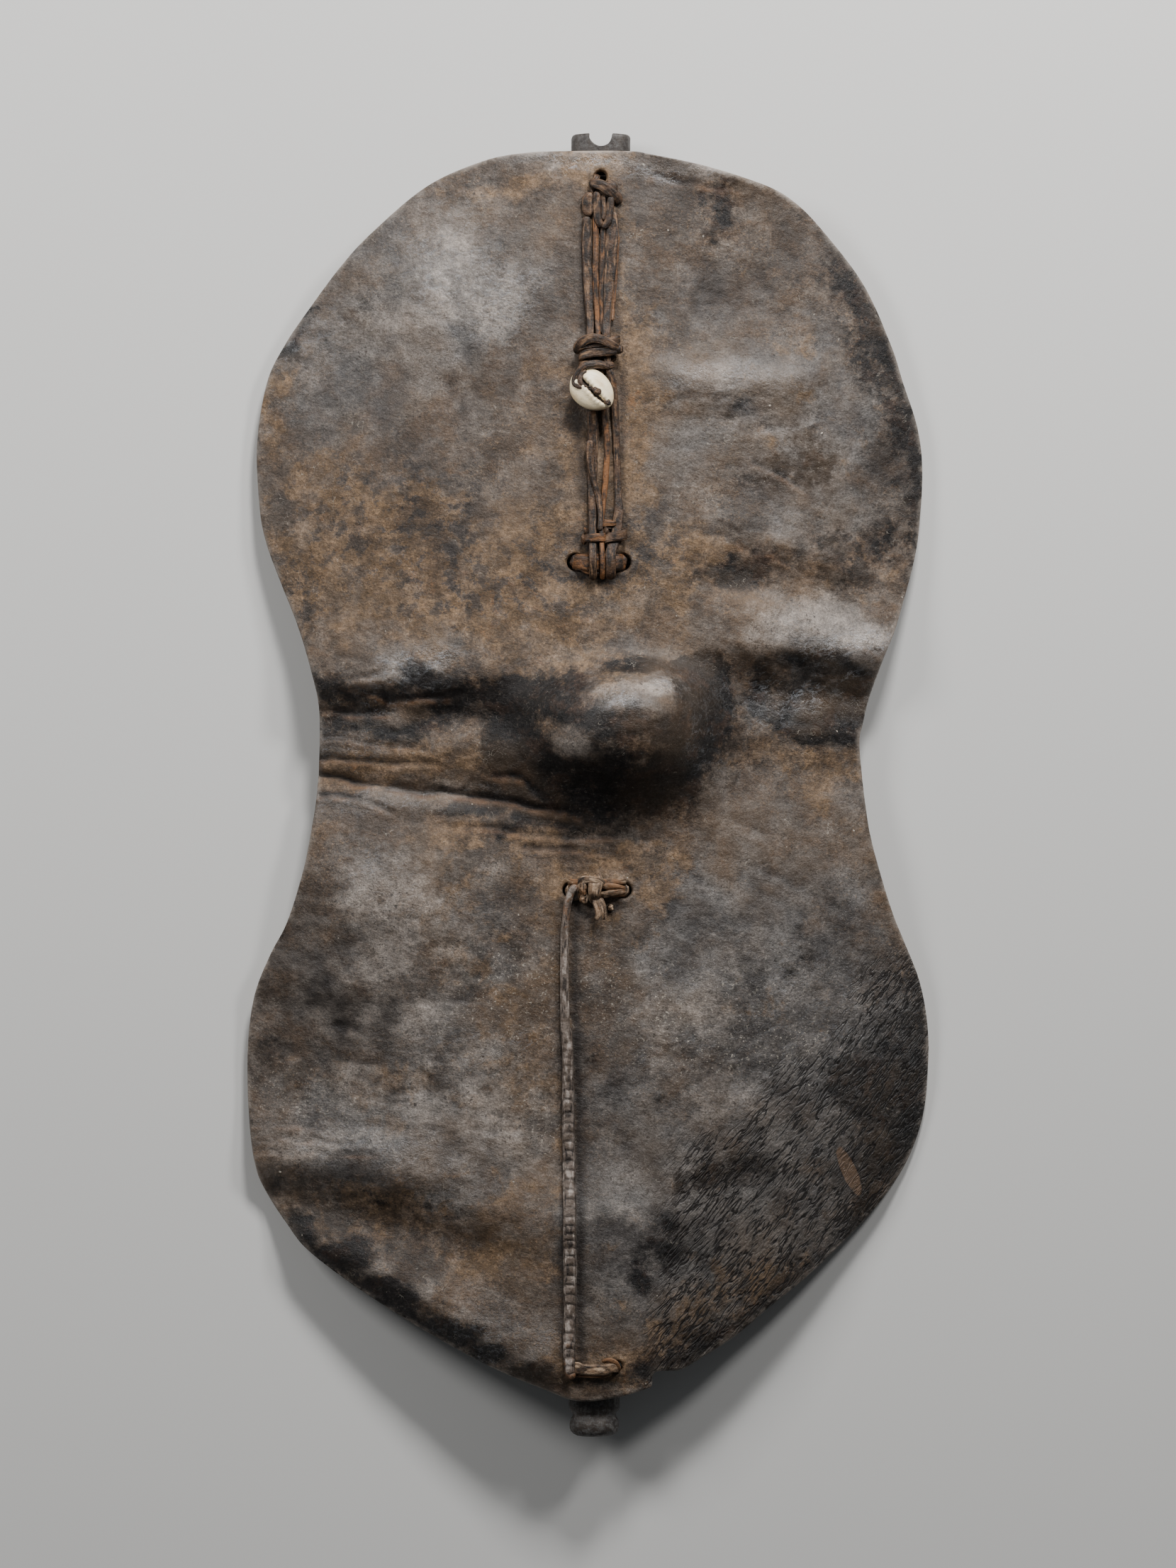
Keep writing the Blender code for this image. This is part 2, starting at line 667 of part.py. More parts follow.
def join(whole, pieces):
    """Pieces of one thong made one body with it."""
    for piece in pieces:
        piece.hide_render = True
        piece.display_type = "WIRE"
        union = whole.modifiers.new(piece.name, "BOOLEAN")
        union.operation = "UNION"
        union.object = piece


def build_top_lashing(finish):
    """The knotted thong at the top: round the stave, up through its hole, and down in a bight."""
    x, y = from_drawing(0.0, TOP_HOLE_Y)
    x = stave_x(y)
    half_width = stave_width(y + TOP_THONG) / 2 + 3 * GAP
    middle = stave_top(y) - STAVE_THICKNESS / 2
    ring = ring_strip(
        "top_lashing", Vector((x, y, middle)), half_width, STAVE_THICKNESS / 2 + 2 * GAP,
        TOP_THONG * 1.6, TOP_THONG, finish,
    )
    face = face_height(x, y)
    under = stave_top(y) + TOP_THONG * 0.6
    stem_height = face - under + TOP_THONG
    stem_width = TOP_THONG * 1.7
    stem = ball("top_stem", (x, y, under + stem_height / 2), (stem_width, stem_width, stem_height), finish)
    knot = ball("top_knot", (x, y - TOP_KNOT[1] * 0.36, face + TOP_KNOT_LIFT), TOP_KNOT, finish)
    bight = lying_strip("top_bight", TOP_BIGHT, BIGHT_WIDTH, BIGHT_THICKNESS, finish, SHORT_STRIP_STEP)
    tail = lying_strip("top_tail", TOP_TAIL, TAIL_WIDTH, TAIL_THICKNESS, finish, SHORT_STRIP_STEP)
    join(ring, [stem, knot, bight, tail])
    return ring


def strand_route(places):
    """One strand's way down: under the bight, through the knot, under the shell, over the slot roll."""
    bight, knot, shell, wraps, slot = places
    shell_y = COWRIE_PLACE[1]
    return [
        (bight, BIGHT_Y, 0.0), (bight, BIGHT_Y - KNOT_HOLD, 0.0),
        ((bight + knot) / 2, UPPER_SPAN_Y, SPAN_LIFT),
        (knot, KNOT_Y + KNOT_HOLD, HELD_LIFT), (knot, KNOT_Y - KNOT_HOLD, HELD_LIFT),
        (shell, shell_y + SHELL_HOLD, HELD_LIFT), (shell, shell_y - SHELL_HOLD, HELD_LIFT / 2),
        ((shell + wraps) / 2, LOWER_SPAN_Y, SPAN_LIFT), (wraps, SMALL_WRAP_Y + 2 * ROLL_HOLD, HELD_LIFT),
        (wraps, SMALL_WRAP_Y, WRAPPED_LIFT), (slot, SLOT_Y + ROLL_HOLD, ROLL_LIFT + SPAN_LIFT),
        (slot, SLOT_Y, ROLL_LIFT + SPAN_LIFT), (slot, SLOT_Y - ROLL_HOLD, WRAPPED_LIFT),
        (slot, SLOT_Y - 1.5 * ROLL_HOLD, SPAN_LIFT),
    ]


def build_strands(finish, rusty):
    """Three strands from the top bight to the slot lashing."""
    for name, places, width, look in (
        ("left_strand", LEFT_STRAND_PLACES, LEFT_STRAND_WIDTH, finish),
        ("middle_strand", MIDDLE_STRAND_PLACES, MIDDLE_STRAND_WIDTH, rusty),
        ("right_strand", RIGHT_STRAND_PLACES, RIGHT_STRAND_WIDTH, finish),
    ):
        lying_strip(name, strand_route(places), width, STRAND_THICKNESS, look)


def build_wraps(finish, rusty):
    """The wound knot that holds the strands together, and the two small wraps above the slot."""
    room = STRAND_THICKNESS / 2 + 4 * GAP
    slack = room + 3 * GAP
    wound_strip("knot_wrap", KNOT_Y + 1, KNOT_TURNS, room, WRAP_WIDTH, WRAP_THICKNESS, finish)
    small = SMALL_WRAP_THICKNESS
    wound_strip("left_wrap", SMALL_WRAP_Y, LEFT_TURNS, slack, LEFT_WRAP_WIDTH, small, rusty)
    wound_strip("right_wrap", SMALL_WRAP_Y + 1, RIGHT_TURNS, slack, RIGHT_WRAP_WIDTH, small, finish)


def shell_form(u, v, w):
    """A point of the shell's surface from a point of the unit ball, its slit along v."""
    slit = math.exp(-((u / SLIT_WIDTH) ** 2)) * max(0.0, w) * (1 - 0.5 * abs(v))
    lift = math.copysign(abs(w) ** SHELL_FULLNESS, w) * (1.0 if w > 0 else SHELL_BELOW)
    return Vector((
        u * (1.0 + SHELL_TAPER * v) * COWRIE_WIDTH / 2,
        v * COWRIE_LENGTH / 2,
        lift * COWRIE_HEIGHT / 2 - COWRIE_SLIT_DEPTH * slit,
    ))


def build_cowrie(finish):
    """The shell, its slit up, resting on the strands."""
    mesh = bpy.data.meshes.new("cowrie")
    bm = bmesh.new()
    bmesh.ops.create_uvsphere(bm, u_segments=20, v_segments=12, radius=0.5)
    for vert in bm.verts:
        vert.co = shell_form(*(2 * share for share in vert.co))
    bm.to_mesh(mesh)
    bm.free()
    mesh.shade_smooth()
    shell = new_object("cowrie", mesh, finish)
    shell.rotation_euler = (0.0, 0.0, COWRIE_TURN)
    shell.location = cowrie_centre()
    return shell


def cowrie_centre():
    x, y = from_drawing(*COWRIE_PLACE)
    under = LIE_GAP + HELD_LIFT * LAYOUT + STRAND_THICKNESS + 2 * GAP
    return Vector((x, y, face_height(x, y) + under + SHELL_BELOW * COWRIE_HEIGHT / 2))


def shell_top(x, y):
    """Height of the shell's upper side at a place, or None beside the shell."""
    centre = cowrie_centre()
    dx, dy = x - centre.x, y - centre.y
    c, s = math.cos(COWRIE_TURN), math.sin(COWRIE_TURN)
    u = (c * dx + s * dy) / (COWRIE_WIDTH / 2)
    v = (c * dy - s * dx) / (COWRIE_LENGTH / 2)
    room = 1 - u * u - v * v
    if room < 0:
        return None
    return centre.z + math.sqrt(room) ** SHELL_FULLNESS * COWRIE_HEIGHT / 2


def build_cowrie_tie(finish):
    """The cord from the knot over the shell's upper end and along its slit."""
    thickness = TIE_THICKNESS * 0.8
    near = TIE_THICKNESS * 0.6
    route = []
    for place in smooth_curve(COWRIE_TIE, 2.4):
        x, y = beside_axis(place.x, place.y)
        bundle = face_height(x, y) + LIE_GAP + WRAPPED_LIFT * LAYOUT + STRAND_THICKNESS
        tops = [shell_top(x + dx, y + dy) for dx in (-near, 0, near) for dy in (-near, 0, near)]
        route.append(Vector((x, y, max([top for top in tops if top is not None] + [bundle]))))
    for _ in range(3):
        before = [route[0], *route[:-1]]
        after = [*route[1:], route[-1]]
        heights = [max(b.z, (a.z + b.z + c.z) / 3) for a, b, c in zip(before, route, after)]
        for point, height in zip(route, heights):
            point.z = height
    for point in route:
        point.z += 2 * GAP + thickness / 2
    ups = [Vector((0.0, 0.0, 1.0))] * len(route)
    strip("cowrie_tie", route, ups, lambda share: TIE_THICKNESS, thickness, finish)


def build_long_thong(finish):
    """The thong down the lower half, from the mid knot to the foot lashing."""
    narrow, wide = LONG_THONG_TAPER
    return lying_strip(
        "long_thong", LONG_THONG, LONG_THONG_WIDTH, LONG_THONG_THICKNESS, finish,
        taper=lambda share: LONG_THONG_WIDTH * (narrow + (wide - narrow) * share),
    )


def build_mid_lashing(finish):
    """The middle lashing with its knot and its short forked tail."""
    band = lashing("mid_lashing", MID_Y, MID_BAND_WIDTH, MID_BAND_THICKNESS, finish)
    x, y = beside_axis(MID_KNOT_OFFSET, MID_Y)
    knot = ball("mid_knot", (x, y - LIE_GAP, face_height(x, y) + MID_KNOT_LIFT), MID_KNOT, finish)
    tail = lying_strip("mid_tail", MID_TAIL, MID_TAIL_WIDTH, MID_TAIL_THICKNESS, finish, SHORT_STRIP_STEP)
    join(band, [knot, tail])
    return band


def settle():
    """Everything moved down so that the rim rests on the ground."""
    bpy.context.view_layer.update()
    graph = bpy.context.evaluated_depsgraph_get()
    body = bpy.data.objects["hide"].evaluated_get(graph).to_mesh()
    lowest = min(vert.co.z for vert in body.vertices)
    for thing in bpy.data.objects:
        thing.location.z -= lowest


def main():
    clear_scene()
    rawhide = material("rawhide", (0.115, 0.088, 0.068), 0.42)
    wood = material("stave_wood", (0.060, 0.043, 0.031), 0.50)
    thong = material("thong", (0.125, 0.078, 0.048), 0.50)
    rusty = material("rusty_thong", (0.210, 0.085, 0.032), 0.60)
    shell = material("cowrie_shell", (0.800, 0.740, 0.600), 0.25)
    build_hide(rawhide)
    build_stave(wood)
    build_top_lashing(thong)
    build_strands(thong, rusty)
    build_wraps(thong, rusty)
    build_cowrie(shell)
    build_cowrie_tie(thong)
    lashing("slot_lashing", SLOT_Y, SLOT_ROLL_WIDTH, SLOT_ROLL_THICKNESS, rusty)
    build_mid_lashing(thong)
    build_long_thong(thong)
    lashing("foot_lashing", FOOT_Y, FOOT_BAND_WIDTH, FOOT_BAND_THICKNESS, thong)
    settle()


main()
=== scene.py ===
import math

import bmesh
import bpy
import numpy as np
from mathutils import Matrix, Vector
from mathutils.geometry import delaunay_2d_cdt


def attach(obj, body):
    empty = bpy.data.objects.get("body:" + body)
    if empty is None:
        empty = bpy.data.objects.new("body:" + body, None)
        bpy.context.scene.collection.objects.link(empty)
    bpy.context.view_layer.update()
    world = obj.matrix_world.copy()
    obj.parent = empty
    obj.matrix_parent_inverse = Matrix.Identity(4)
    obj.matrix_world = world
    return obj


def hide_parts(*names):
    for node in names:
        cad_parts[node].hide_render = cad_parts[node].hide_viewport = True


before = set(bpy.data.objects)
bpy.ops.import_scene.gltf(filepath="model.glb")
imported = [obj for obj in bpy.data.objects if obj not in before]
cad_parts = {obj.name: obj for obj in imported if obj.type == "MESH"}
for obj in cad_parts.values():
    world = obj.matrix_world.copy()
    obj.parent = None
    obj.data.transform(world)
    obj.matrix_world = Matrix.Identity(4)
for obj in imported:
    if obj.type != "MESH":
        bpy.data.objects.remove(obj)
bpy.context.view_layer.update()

MM = 0.001

# The photograph's height in its own pixels, and the size of one
PHOTO_HEIGHT = 2212
MM_PER_PIXEL = 0.43

# Hide, in millimetres, on a drawing centred on the hide
HIDE_WIDTH = 417.5
HIDE_LENGTH = 756.4
HIDE_CENTRE_Y = 5.3
HIDE_THICKNESS = 5.0
SIDE_BEND = 40.0
END_BEND = 12.0
FACE_TOP = SIDE_BEND + END_BEND + HIDE_THICKNESS
BOSS_HEIGHT = 40.0
KNOB_ON_BOSS = 6.0

# Stave
STAVE_FOOT_Y = -400.8
STAVE_TOP_Y = 390.2
STAVE_THICKNESS = 20.0
STAVE_WIDTH = 21.5
SHOULDER_WIDTH = 27.0
GRIP_WIDTH = 23.0
FORK_WIDTH = 36.0
NECK_WIDTH = 31.0
NOTCH_WIDTH = 14.6
NOTCH_DEPTH = 8.0
STAVE_GAP = 1.4
STAVE_DROP_AT_TOP = 4.4
AXIS_TOP_X = 7.7
AXIS_FOOT_X = 3.9

# Places of the lashings along the drawing
TOP_HOLE_Y = 362.0
SLOT_Y = 128.5
MID_Y = -69.5
FOOT_Y = -357.0
KNOT_Y = 256.0
SMALL_WRAP_Y = 144.5
COWRIE_PLACE = (2.5, 231.5)
COWRIE_SIZE = np.array([23.2, 28.8, 13.0])
COWRIE_TURN = math.radians(52)

# Distance between the points of the hide's face, back and rim
FACE_STEP = 2.05
BACK_STEP = 6.5
RIM_STEP = 2.0

# Lashings: widths and thicknesses of the bands, the room beside the stave of the holes and of the strips in
# them, the top hole, how much tighter a hole is than its band, and the length of the long thong's scales
SLOT_ROLL_WIDTH, SLOT_ROLL_THICKNESS = 10.5, 5.0
MID_BAND_WIDTH, MID_BAND_THICKNESS = 8.5, 4.4
FOOT_BAND_WIDTH, FOOT_BAND_THICKNESS = 7.0, 3.4
HOLE_CLEARANCE = 1.0
STRIP_CLEARANCE = 0.9
TOP_HOLE_RADIUS = 3.6
HOLE_SQUEEZE = 0.2
SCALE_LENGTH = 5.6

# Strips: distance between rings, points round one, and how a draped route is stepped and smoothed
STRIP_STEP = 0.8
STRIP_SECTIONS = 18
DRAPE_STEP = 2.0
DRAPE_ROUNDS = 2

# The hide's outline on the drawing, counterclockwise from its top
OUTLINE = (
    (-39, 377), (-65, 372), (-99, 357), (-133, 329), (-151, 310), (-168, 288), (-185, 264), (-197, 240),
    (-203, 203), (-202, 169), (-198, 144), (-188, 117), (-178, 92), (-171, 70), (-165, 46), (-164, 22),
    (-166, -12), (-170, -38), (-175, -61), (-184, -89), (-195, -110), (-205, -136), (-209, -170),
    (-208, -208), (-204, -238), (-198, -254), (-185, -273), (-167, -293), (-117, -327), (-64, -356),
    (-25, -372), (-6, -378), (17, -376), (36, -371), (39, -369), (41, -361), (56, -360), (69, -353),
    (90, -340), (111, -323), (134, -305), (160, -281), (179, -261), (193, -241), (202, -221), (207, -200),
    (209, -167), (207, -143), (202, -122), (193, -100), (185, -80), (174, -43), (170, -21), (166, 18),
    (168, 31), (172, 47), (180, 70), (189, 93), (199, 128), (203, 151), (205, 186), (202, 212),
    (193, 240), (185, 264), (168, 300), (142, 333), (125, 349), (107, 358), (73, 369), (39, 376),
    (25, 378), (-13, 378),
)

# Swellings and hollows: centre, reach to the left, right, down and up, height
SWELLS = (
    (-126, -70, 44, 44, 36, 26, 5.0),
    (-92, 296, 52, 46, 50, 40, 4.0),
    (-118, 176, 60, 52, 60, 46, 3.5),
    (104, -128, 60, 58, 56, 50, 4.0),
    (196, -296, 90, 60, 80, 96, -8.0),
    (86, 298, 26, 30, 42, 40, -3.0),
    (-83, 235, 9, 9, 8, 8, -1.5),
    (150, 205, 40, 40, 50, 50, 3.0),
)

# Folds: from and to, reach above the line and below it, height
FOLDS = (
    (-160, 58, -62, 62, 24, 12, 5.5),
    (-158, 38, -50, 34, 9, 14, -4.0),
    (98, 82, 184, 72, 30, 13, 8.0),
    (104, 50, 170, 44, 12, 18, -6.0),
    (-168, -2, -62, -12, 22, 26, -6.5),
    (100, 6, 170, 4, 24, 30, -6.0),
    (-168, -1, -107, -8, 5, 6, -1.6),
    (-107, -8, -30, -22, 5, 6, -1.6),
    (-160, -11, -60, -24, 6, 7, 1.4),
    (-208, -231, -120, -238, 30, 16, 5.5),
    (-120, -238, -34, -266, 30, 20, 3.5),
    (-200, -258, -66, -286, 12, 18, -3.0),
    (-168, -282, -34, -352, 18, 12, 6.0),
    (4, -270, 3, -384, 46, 60, 9.0),
    (54, 236, 128, 240, 15, 12, 3.5),
    (94, 150, 152, 126, 12, 12, 3.0),
    (84, 116, 150, 108, 14, 10, -2.5),
    (52, 372, 108, 361, 6, 8, 3.0),
    (-196, -118, -150, -128, 14, 16, 3.5),
)
FOLD_FADE = 20.0

# The boss and the knob on it, as the swellings but for their heights
BOSS = (28, 34, 60, 42, 44, 29)
BOSS_STEEPNESS = 1.5
BOSS_KNOB = (-7, 17, 20, 16, 15, 13)

# Colours
BROWN = (0.066, 0.048, 0.036)
WARM_BROWN = (0.098, 0.064, 0.041)
GREY_BROWN = (0.120, 0.098, 0.081)
BLUE_GREY_AND_SHEEN = (0.140, 0.129, 0.121)
DUSTY = (0.172, 0.113, 0.070)
SCUFF = (0.122, 0.076, 0.047)
RIM_HIGHLIGHT = (0.330, 0.285, 0.245)
OCHRE = (0.128, 0.078, 0.041)
TAN = (0.215, 0.138, 0.078)
ORANGE = (0.2, 0.092, 0.034)
PALE_AND_HIGHLIGHT = (0.325, 0.280, 0.243)
COOL_DARK = (0.06, 0.056, 0.055)
BLACK_PATINA_AND_SHADE = (0.0125, 0.0120, 0.0125)
DARK_RED = (0.028, 0.018, 0.014)
SHEEN = (0.245, 0.252, 0.266)
SPOT_EDGE = (0.066, 0.054, 0.047)
SPOT = (0.038, 0.031, 0.028)
CRUST = (0.480, 0.430, 0.360)
CRACK_AND_SHADE_BLACK = (0.012, 0.009, 0.008)
FLESH_SIDE = (0.150, 0.108, 0.070)
FLESH_DARK = (0.075, 0.052, 0.036)
THONG = (0.072, 0.040, 0.023)
THONG_WORN = (0.185, 0.108, 0.060)
THONG_DEEP = (0.021, 0.014, 0.01)
GREYED = (0.160, 0.126, 0.104)
GREYED_WORN = (0.350, 0.300, 0.262)
GREYED_DEEP = (0.090, 0.066, 0.050)
DRY = (0.185, 0.115, 0.068)
DRY_WORN = (0.420, 0.300, 0.205)
DRY_DEEP = (0.040, 0.024, 0.014)
RUSTY = (0.078, 0.042, 0.023)
RUST = (0.175, 0.08, 0.032)
RUST_BRIGHT = (0.225, 0.095, 0.034)
WOOD = (0.045, 0.036, 0.03)
WOOD_DARK = (0.026, 0.020, 0.017)
WOOD_PALE = (0.08, 0.062, 0.048)
WOOD_GREY = (0.085, 0.08, 0.076)
SHELL = (0.90, 0.76, 0.52)
SHELL_CREAM = (0.84, 0.66, 0.40)
SHELL_STAIN = (0.420, 0.300, 0.170)
GRIME = (0.045, 0.030, 0.020)

# Dark patches of the patina. Those along the lower rim, left and right, are painted shade where the hide
# bends away from the light.
DARK_PATCHES = (
    (69, 51, 7, 11, 1), (62, 42, 10, 25, 1), (58, 12, 12, 19, 0.9), (14, 30, 27, 12, 0.9),
    (43, 32, 17, 11, 0.8), (24, 69, 19, 5, 0.8), (38, 71, 21, 5, 1), (64, 65, 12, 8, 1),
    (65, 58, 10, 14, 1), (9, 8, 29, 8, 0.9), (73, 42, 11, 24, 1), (-43, 20, 18, 24, 1),
    (-24, -8, 22, 10, 1), (-10, -19, 19, 7, 1), (-53, 42, 14, 14, 1), (-29, 55, 19, 8, 1),
    (-7, 39, 14, 6, 0.9), (-36, 6, 16, 16, 1), (145, 39, 36, 15, 0.9), (-53, 42, 10, 14, 0.8),
    (-50, 25, 14, 29, 1), (-29, 51, 27, 14, 0.95), (-42, -10, 20, 14, 1), (-18, -23, 24, 10, 1),
    (19, -20, 43, 10, 0.95), (56, -6, 24, 13, 0.95), (68, 36, 12, 25, 1), (63, 11, 16, 20, 0.95),
    (24, -6, 29, 9, 0.8), (9, 1, 21, 8, 0.6), (9, 39, 17, 8, 0.5), (-143, 39, 19, 9, 0.8),
    (-117, 30, 33, 6, 0.8), (-133, 51, 14, 7, 0.7), (-107, 55, 17, 9, 0.8), (-90, 41, 19, 9, 0.75),
    (-74, 58, 12, 7, 0.45), (-152, 57, 10, 9, 0.7), (-72, -15, 29, 6, 0.8), (-48, -34, 33, 6, 0.7),
    (-91, -1, 29, 4, 0.6), (133, 66, 29, 6, 0.95), (159, 56, 14, 10, 0.95), (107, 56, 11, 9, 0.8),
    (128, 39, 29, 10, 0.8), (156, 35, 19, 10, 0.9), (119, 27, 24, 7, 0.7), (147, 22, 24, 4, 0.6),
    (-190, -244, 8, 11, 0.45), (-174, -273, 14, 10, 0.95), (-149, -292, 19, 9, 1), (-119, -312, 21, 9, 1),
    (-91, -330, 21, 8, 1), (-61, -346, 19, 7, 1), (-32, -362, 19, 6, 1), (-167, -247, 24, 4, 0.55),
    (-133, -259, 29, 6, 0.5), (-91, -266, 38, 6, 0.4), (-129, -320, 29, 7, 0.9),
    (200, -196, 11, 76, 0.35), (185, -272, 24, 38, 0.4), (119, -346, 71, 16, 0.85),
    (157, -310, 48, 19, 0.7), (85, -355, 52, 11, 0.8), (52, -367, 29, 8, 0.9), (190, 256, 14, 43, 0.6),
    (202, 184, 7, 57, 0.6), (176, 137, 24, 29, 0.35), (123, 189, 29, 19, 0.5), (85, 118, 24, 11, 0.5),
    (147, 118, 33, 19, 0.4), (-180, 268, 12, 29, 0.75), (-143, 282, 12, 24, 0.5), (83, 341, 16, 21, 0.8),
    (171, 265, 16, 38, 0.7), (147, 303, 19, 24, 0.5), (102, 218, 33, 14, 0.6), (112, 182, 21, 14, 0.5),
    (140, 184, 19, 14, 0.6), (100, 120, 29, 14, 0.6), (157, 142, 29, 14, 0.4), (62, -167, 22, 14, 0.55),
    (47, -196, 19, 12, 0.5), (73, -244, 19, 10, 0.7), (95, -234, 19, 7, 0.6), (57, -253, 14, 8, 0.6),
    (45, -277, 12, 11, 0.7), (33, -298, 11, 16, 0.8), (47, -291, 10, 10, 0.5), (100, -239, 14, 10, 0.6),
    (123, -108, 27, 27, 0.45), (147, -191, 24, 17, 0.5), (166, -182, 19, 14, 0.5),
    (185, -163, 24, 38, 0.55), (190, -234, 29, 38, 0.65), (-193, -172, 10, 14, 0.4),
    (190, 203, 14, 24, 0.5), (-5, -139, 8, 76, 0.3), (-29, 308, 14, 29, 0.3), (-133, 89, 29, 10, 0.3),
    (-72, -44, 43, 7, 0.4), (5, -34, 29, 7, 0.5), (-43, -91, 19, 24, 0.25), (-210, 175, 5, 57, 0.5),
    (-157, 89, 14, 10, 0.3),
)
# Pale patches of the patina. Those on the boss's upper shoulder, the right waist's crest, the left waist's
# small crests, the top left, the top rim and the ridges of the lower left are painted highlights.
PALE_AND_HIGHLIGHT_PATCHES = (
    (-133, -163, 67, 71, 0.35), (-91, -206, 62, 24, 0.6), (-157, -134, 29, 19, 0.6),
    (-53, -196, 38, 19, 0.5), (-110, -110, 57, 19, 0.5), (-62, -272, 38, 14, 0.4),
    (71, -206, 29, 24, 0.4), (100, -196, 19, 14, 0.3), (-3, 372, 48, 3, 0.5), (52, 368, 29, 3, 0.5),
    (-91, 313, 27, 29, 0.8), (-53, 287, 24, 21, 0.9), (-124, 280, 27, 19, 0.5), (-148, 246, 43, 19, 0.5),
    (-62, 223, 29, 24, 0.35), (85, 235, 38, 10, 0.6), (71, 165, 29, 24, 0.45), (164, 84, 24, 9, 1),
    (133, 93, 29, 10, 0.4), (49, 56, 10, 5, 1), (32, 58, 10, 4, 0.7), (16, 49, 14, 7, 0.5),
    (-11, 19, 10, 9, 1), (-124, -70, 29, 27, 0.8), (-129, -146, 52, 8, 0.6), (-167, -225, 29, 9, 0.9),
    (-72, -163, 33, 12, 0.55), (62, -153, 33, 21, 0.6), (119, -163, 29, 19, 0.45),
    (-5, -324, 24, 29, 0.35), (-129, -300, 16, 5, 0.5), (-100, -313, 17, 6, 0.6), (-72, -325, 17, 6, 0.6),
    (-45, -338, 16, 6, 0.6), (-91, -11, 29, 5, 0.6), (123, -134, 57, 29, 0.3), (-53, -234, 38, 19, 0.4),
    (-129, 61, 19, 6, 0.6), (-112, 65, 10, 7, 0.8), (-91, 67, 9, 4, 0.8), (128, 50, 19, 6, 0.45),
    (-72, -58, 29, 19, 0.35), (90, -91, 33, 24, 0.35), (14, -263, 19, 29, 0.35), (57, -272, 24, 24, 0.3),
    (71, 368, 29, 5, 0.7), (114, 94, 38, 19, 0.5), (-91, 184, 29, 29, 0.2), (-190, 184, 14, 29, 0.3),
    (150, 88, 34, 12, 0.7), (42, 56, 16, 8, 0.9), (24, 55, 12, 6, 0.6), (154, 104, 19, 8, 0.5),
)
OCHRE_PATCHES = (
    (-91, -263, 43, 11, 0.6), (-110, -187, 24, 14, 0.4), (221, -234, 12, 57, 0.8),
    (200, -310, 24, 24, 0.7), (147, -358, 29, 19, 0.5), (119, -310, 33, 11, 0.5), (62, -339, 29, 14, 0.5),
    (-53, -244, 43, 7, 0.4), (-119, -215, 19, 11, 0.4), (-24, -148, 19, 57, 0.3), (176, 313, 14, 29, 0.3),
    (14, 313, 14, 57, 0.75), (24, 203, 12, 57, 0.9), (-5, 165, 29, 57, 0.75), (-15, 108, 57, 38, 0.7),
    (-129, 165, 52, 29, 0.62), (-167, 137, 29, 29, 0.62), (-148, 108, 43, 29, 0.7),
    (-72, 113, 57, 43, 0.75), (-62, 349, 29, 12, 0.7), (-5, 358, 33, 10, 0.6), (-110, 8, 62, 10, 0.85),
    (-148, 1, 24, 11, 0.95), (-53, -34, 43, 10, 0.7), (-91, -53, 29, 24, 0.45), (9, -58, 43, 14, 0.9),
    (24, -82, 24, 24, 0.5), (-53, -120, 29, 29, 0.35), (-133, -272, 48, 19, 0.55),
    (-53, -291, 43, 14, 0.5), (9, -360, 29, 11, 1), (54, 127, 29, 24, 0.8), (-24, 232, 33, 19, 0.45),
    (81, -134, 33, 24, 0.25), (119, 13, 52, 10, 0.6), (147, -11, 29, 29, 0.4), (-148, -177, 43, 29, 0.35),
    (-53, -182, 29, 29, 0.45), (119, 213, 29, 29, 0.3), (157, 127, 29, 24, 0.35),
    (71, -315, 52, 24, 0.45), (5, 375, 29, 5, 0.7), (-91, -101, 29, 29, 0.3), (-24, 61, 29, 19, 0.6),
    (33, 246, 19, 29, 0.7), (-190, 223, 14, 29, 0.5), (180, 203, 19, 29, 0.3), (-15, -215, 10, 57, 0.45),
    (119, 280, 29, 29, 0.4),
)
COOL_PATCHES = (
    (95, -125, 90, 90, 0.9), (71, -272, 71, 71, 0.9), (157, -196, 57, 90, 0.8), (-110, -125, 76, 52, 0.6),
    (-129, -210, 76, 38, 0.7), (-72, -244, 57, 48, 0.5), (-129, 265, 57, 52, 0.8),
    (-62, 303, 57, 43, 0.7), (-157, 223, 38, 29, 0.5), (100, 213, 71, 52, 0.7), (157, 184, 48, 52, 0.6),
    (71, 280, 38, 38, 0.35), (142, 270, 43, 43, 0.3), (142, 75, 43, 29, 0.8), (14, 51, 71, 29, 0.35),
    (14, -272, 29, 76, 0.6), (-72, -63, 38, 29, 0.4),
)
CHIP_PATCHES = (
    (-24, 118, 57, 29, 0.7), (38, 137, 29, 29, 0.7), (24, 213, 24, 29, 0.5), (-62, 165, 33, 29, 0.6),
    (-129, 161, 57, 29, 1), (-148, 123, 38, 29, 0.9), (-91, 123, 52, 33, 0.8), (-157, 203, 33, 24, 0.5),
    (-24, 223, 29, 24, 0.3),
)
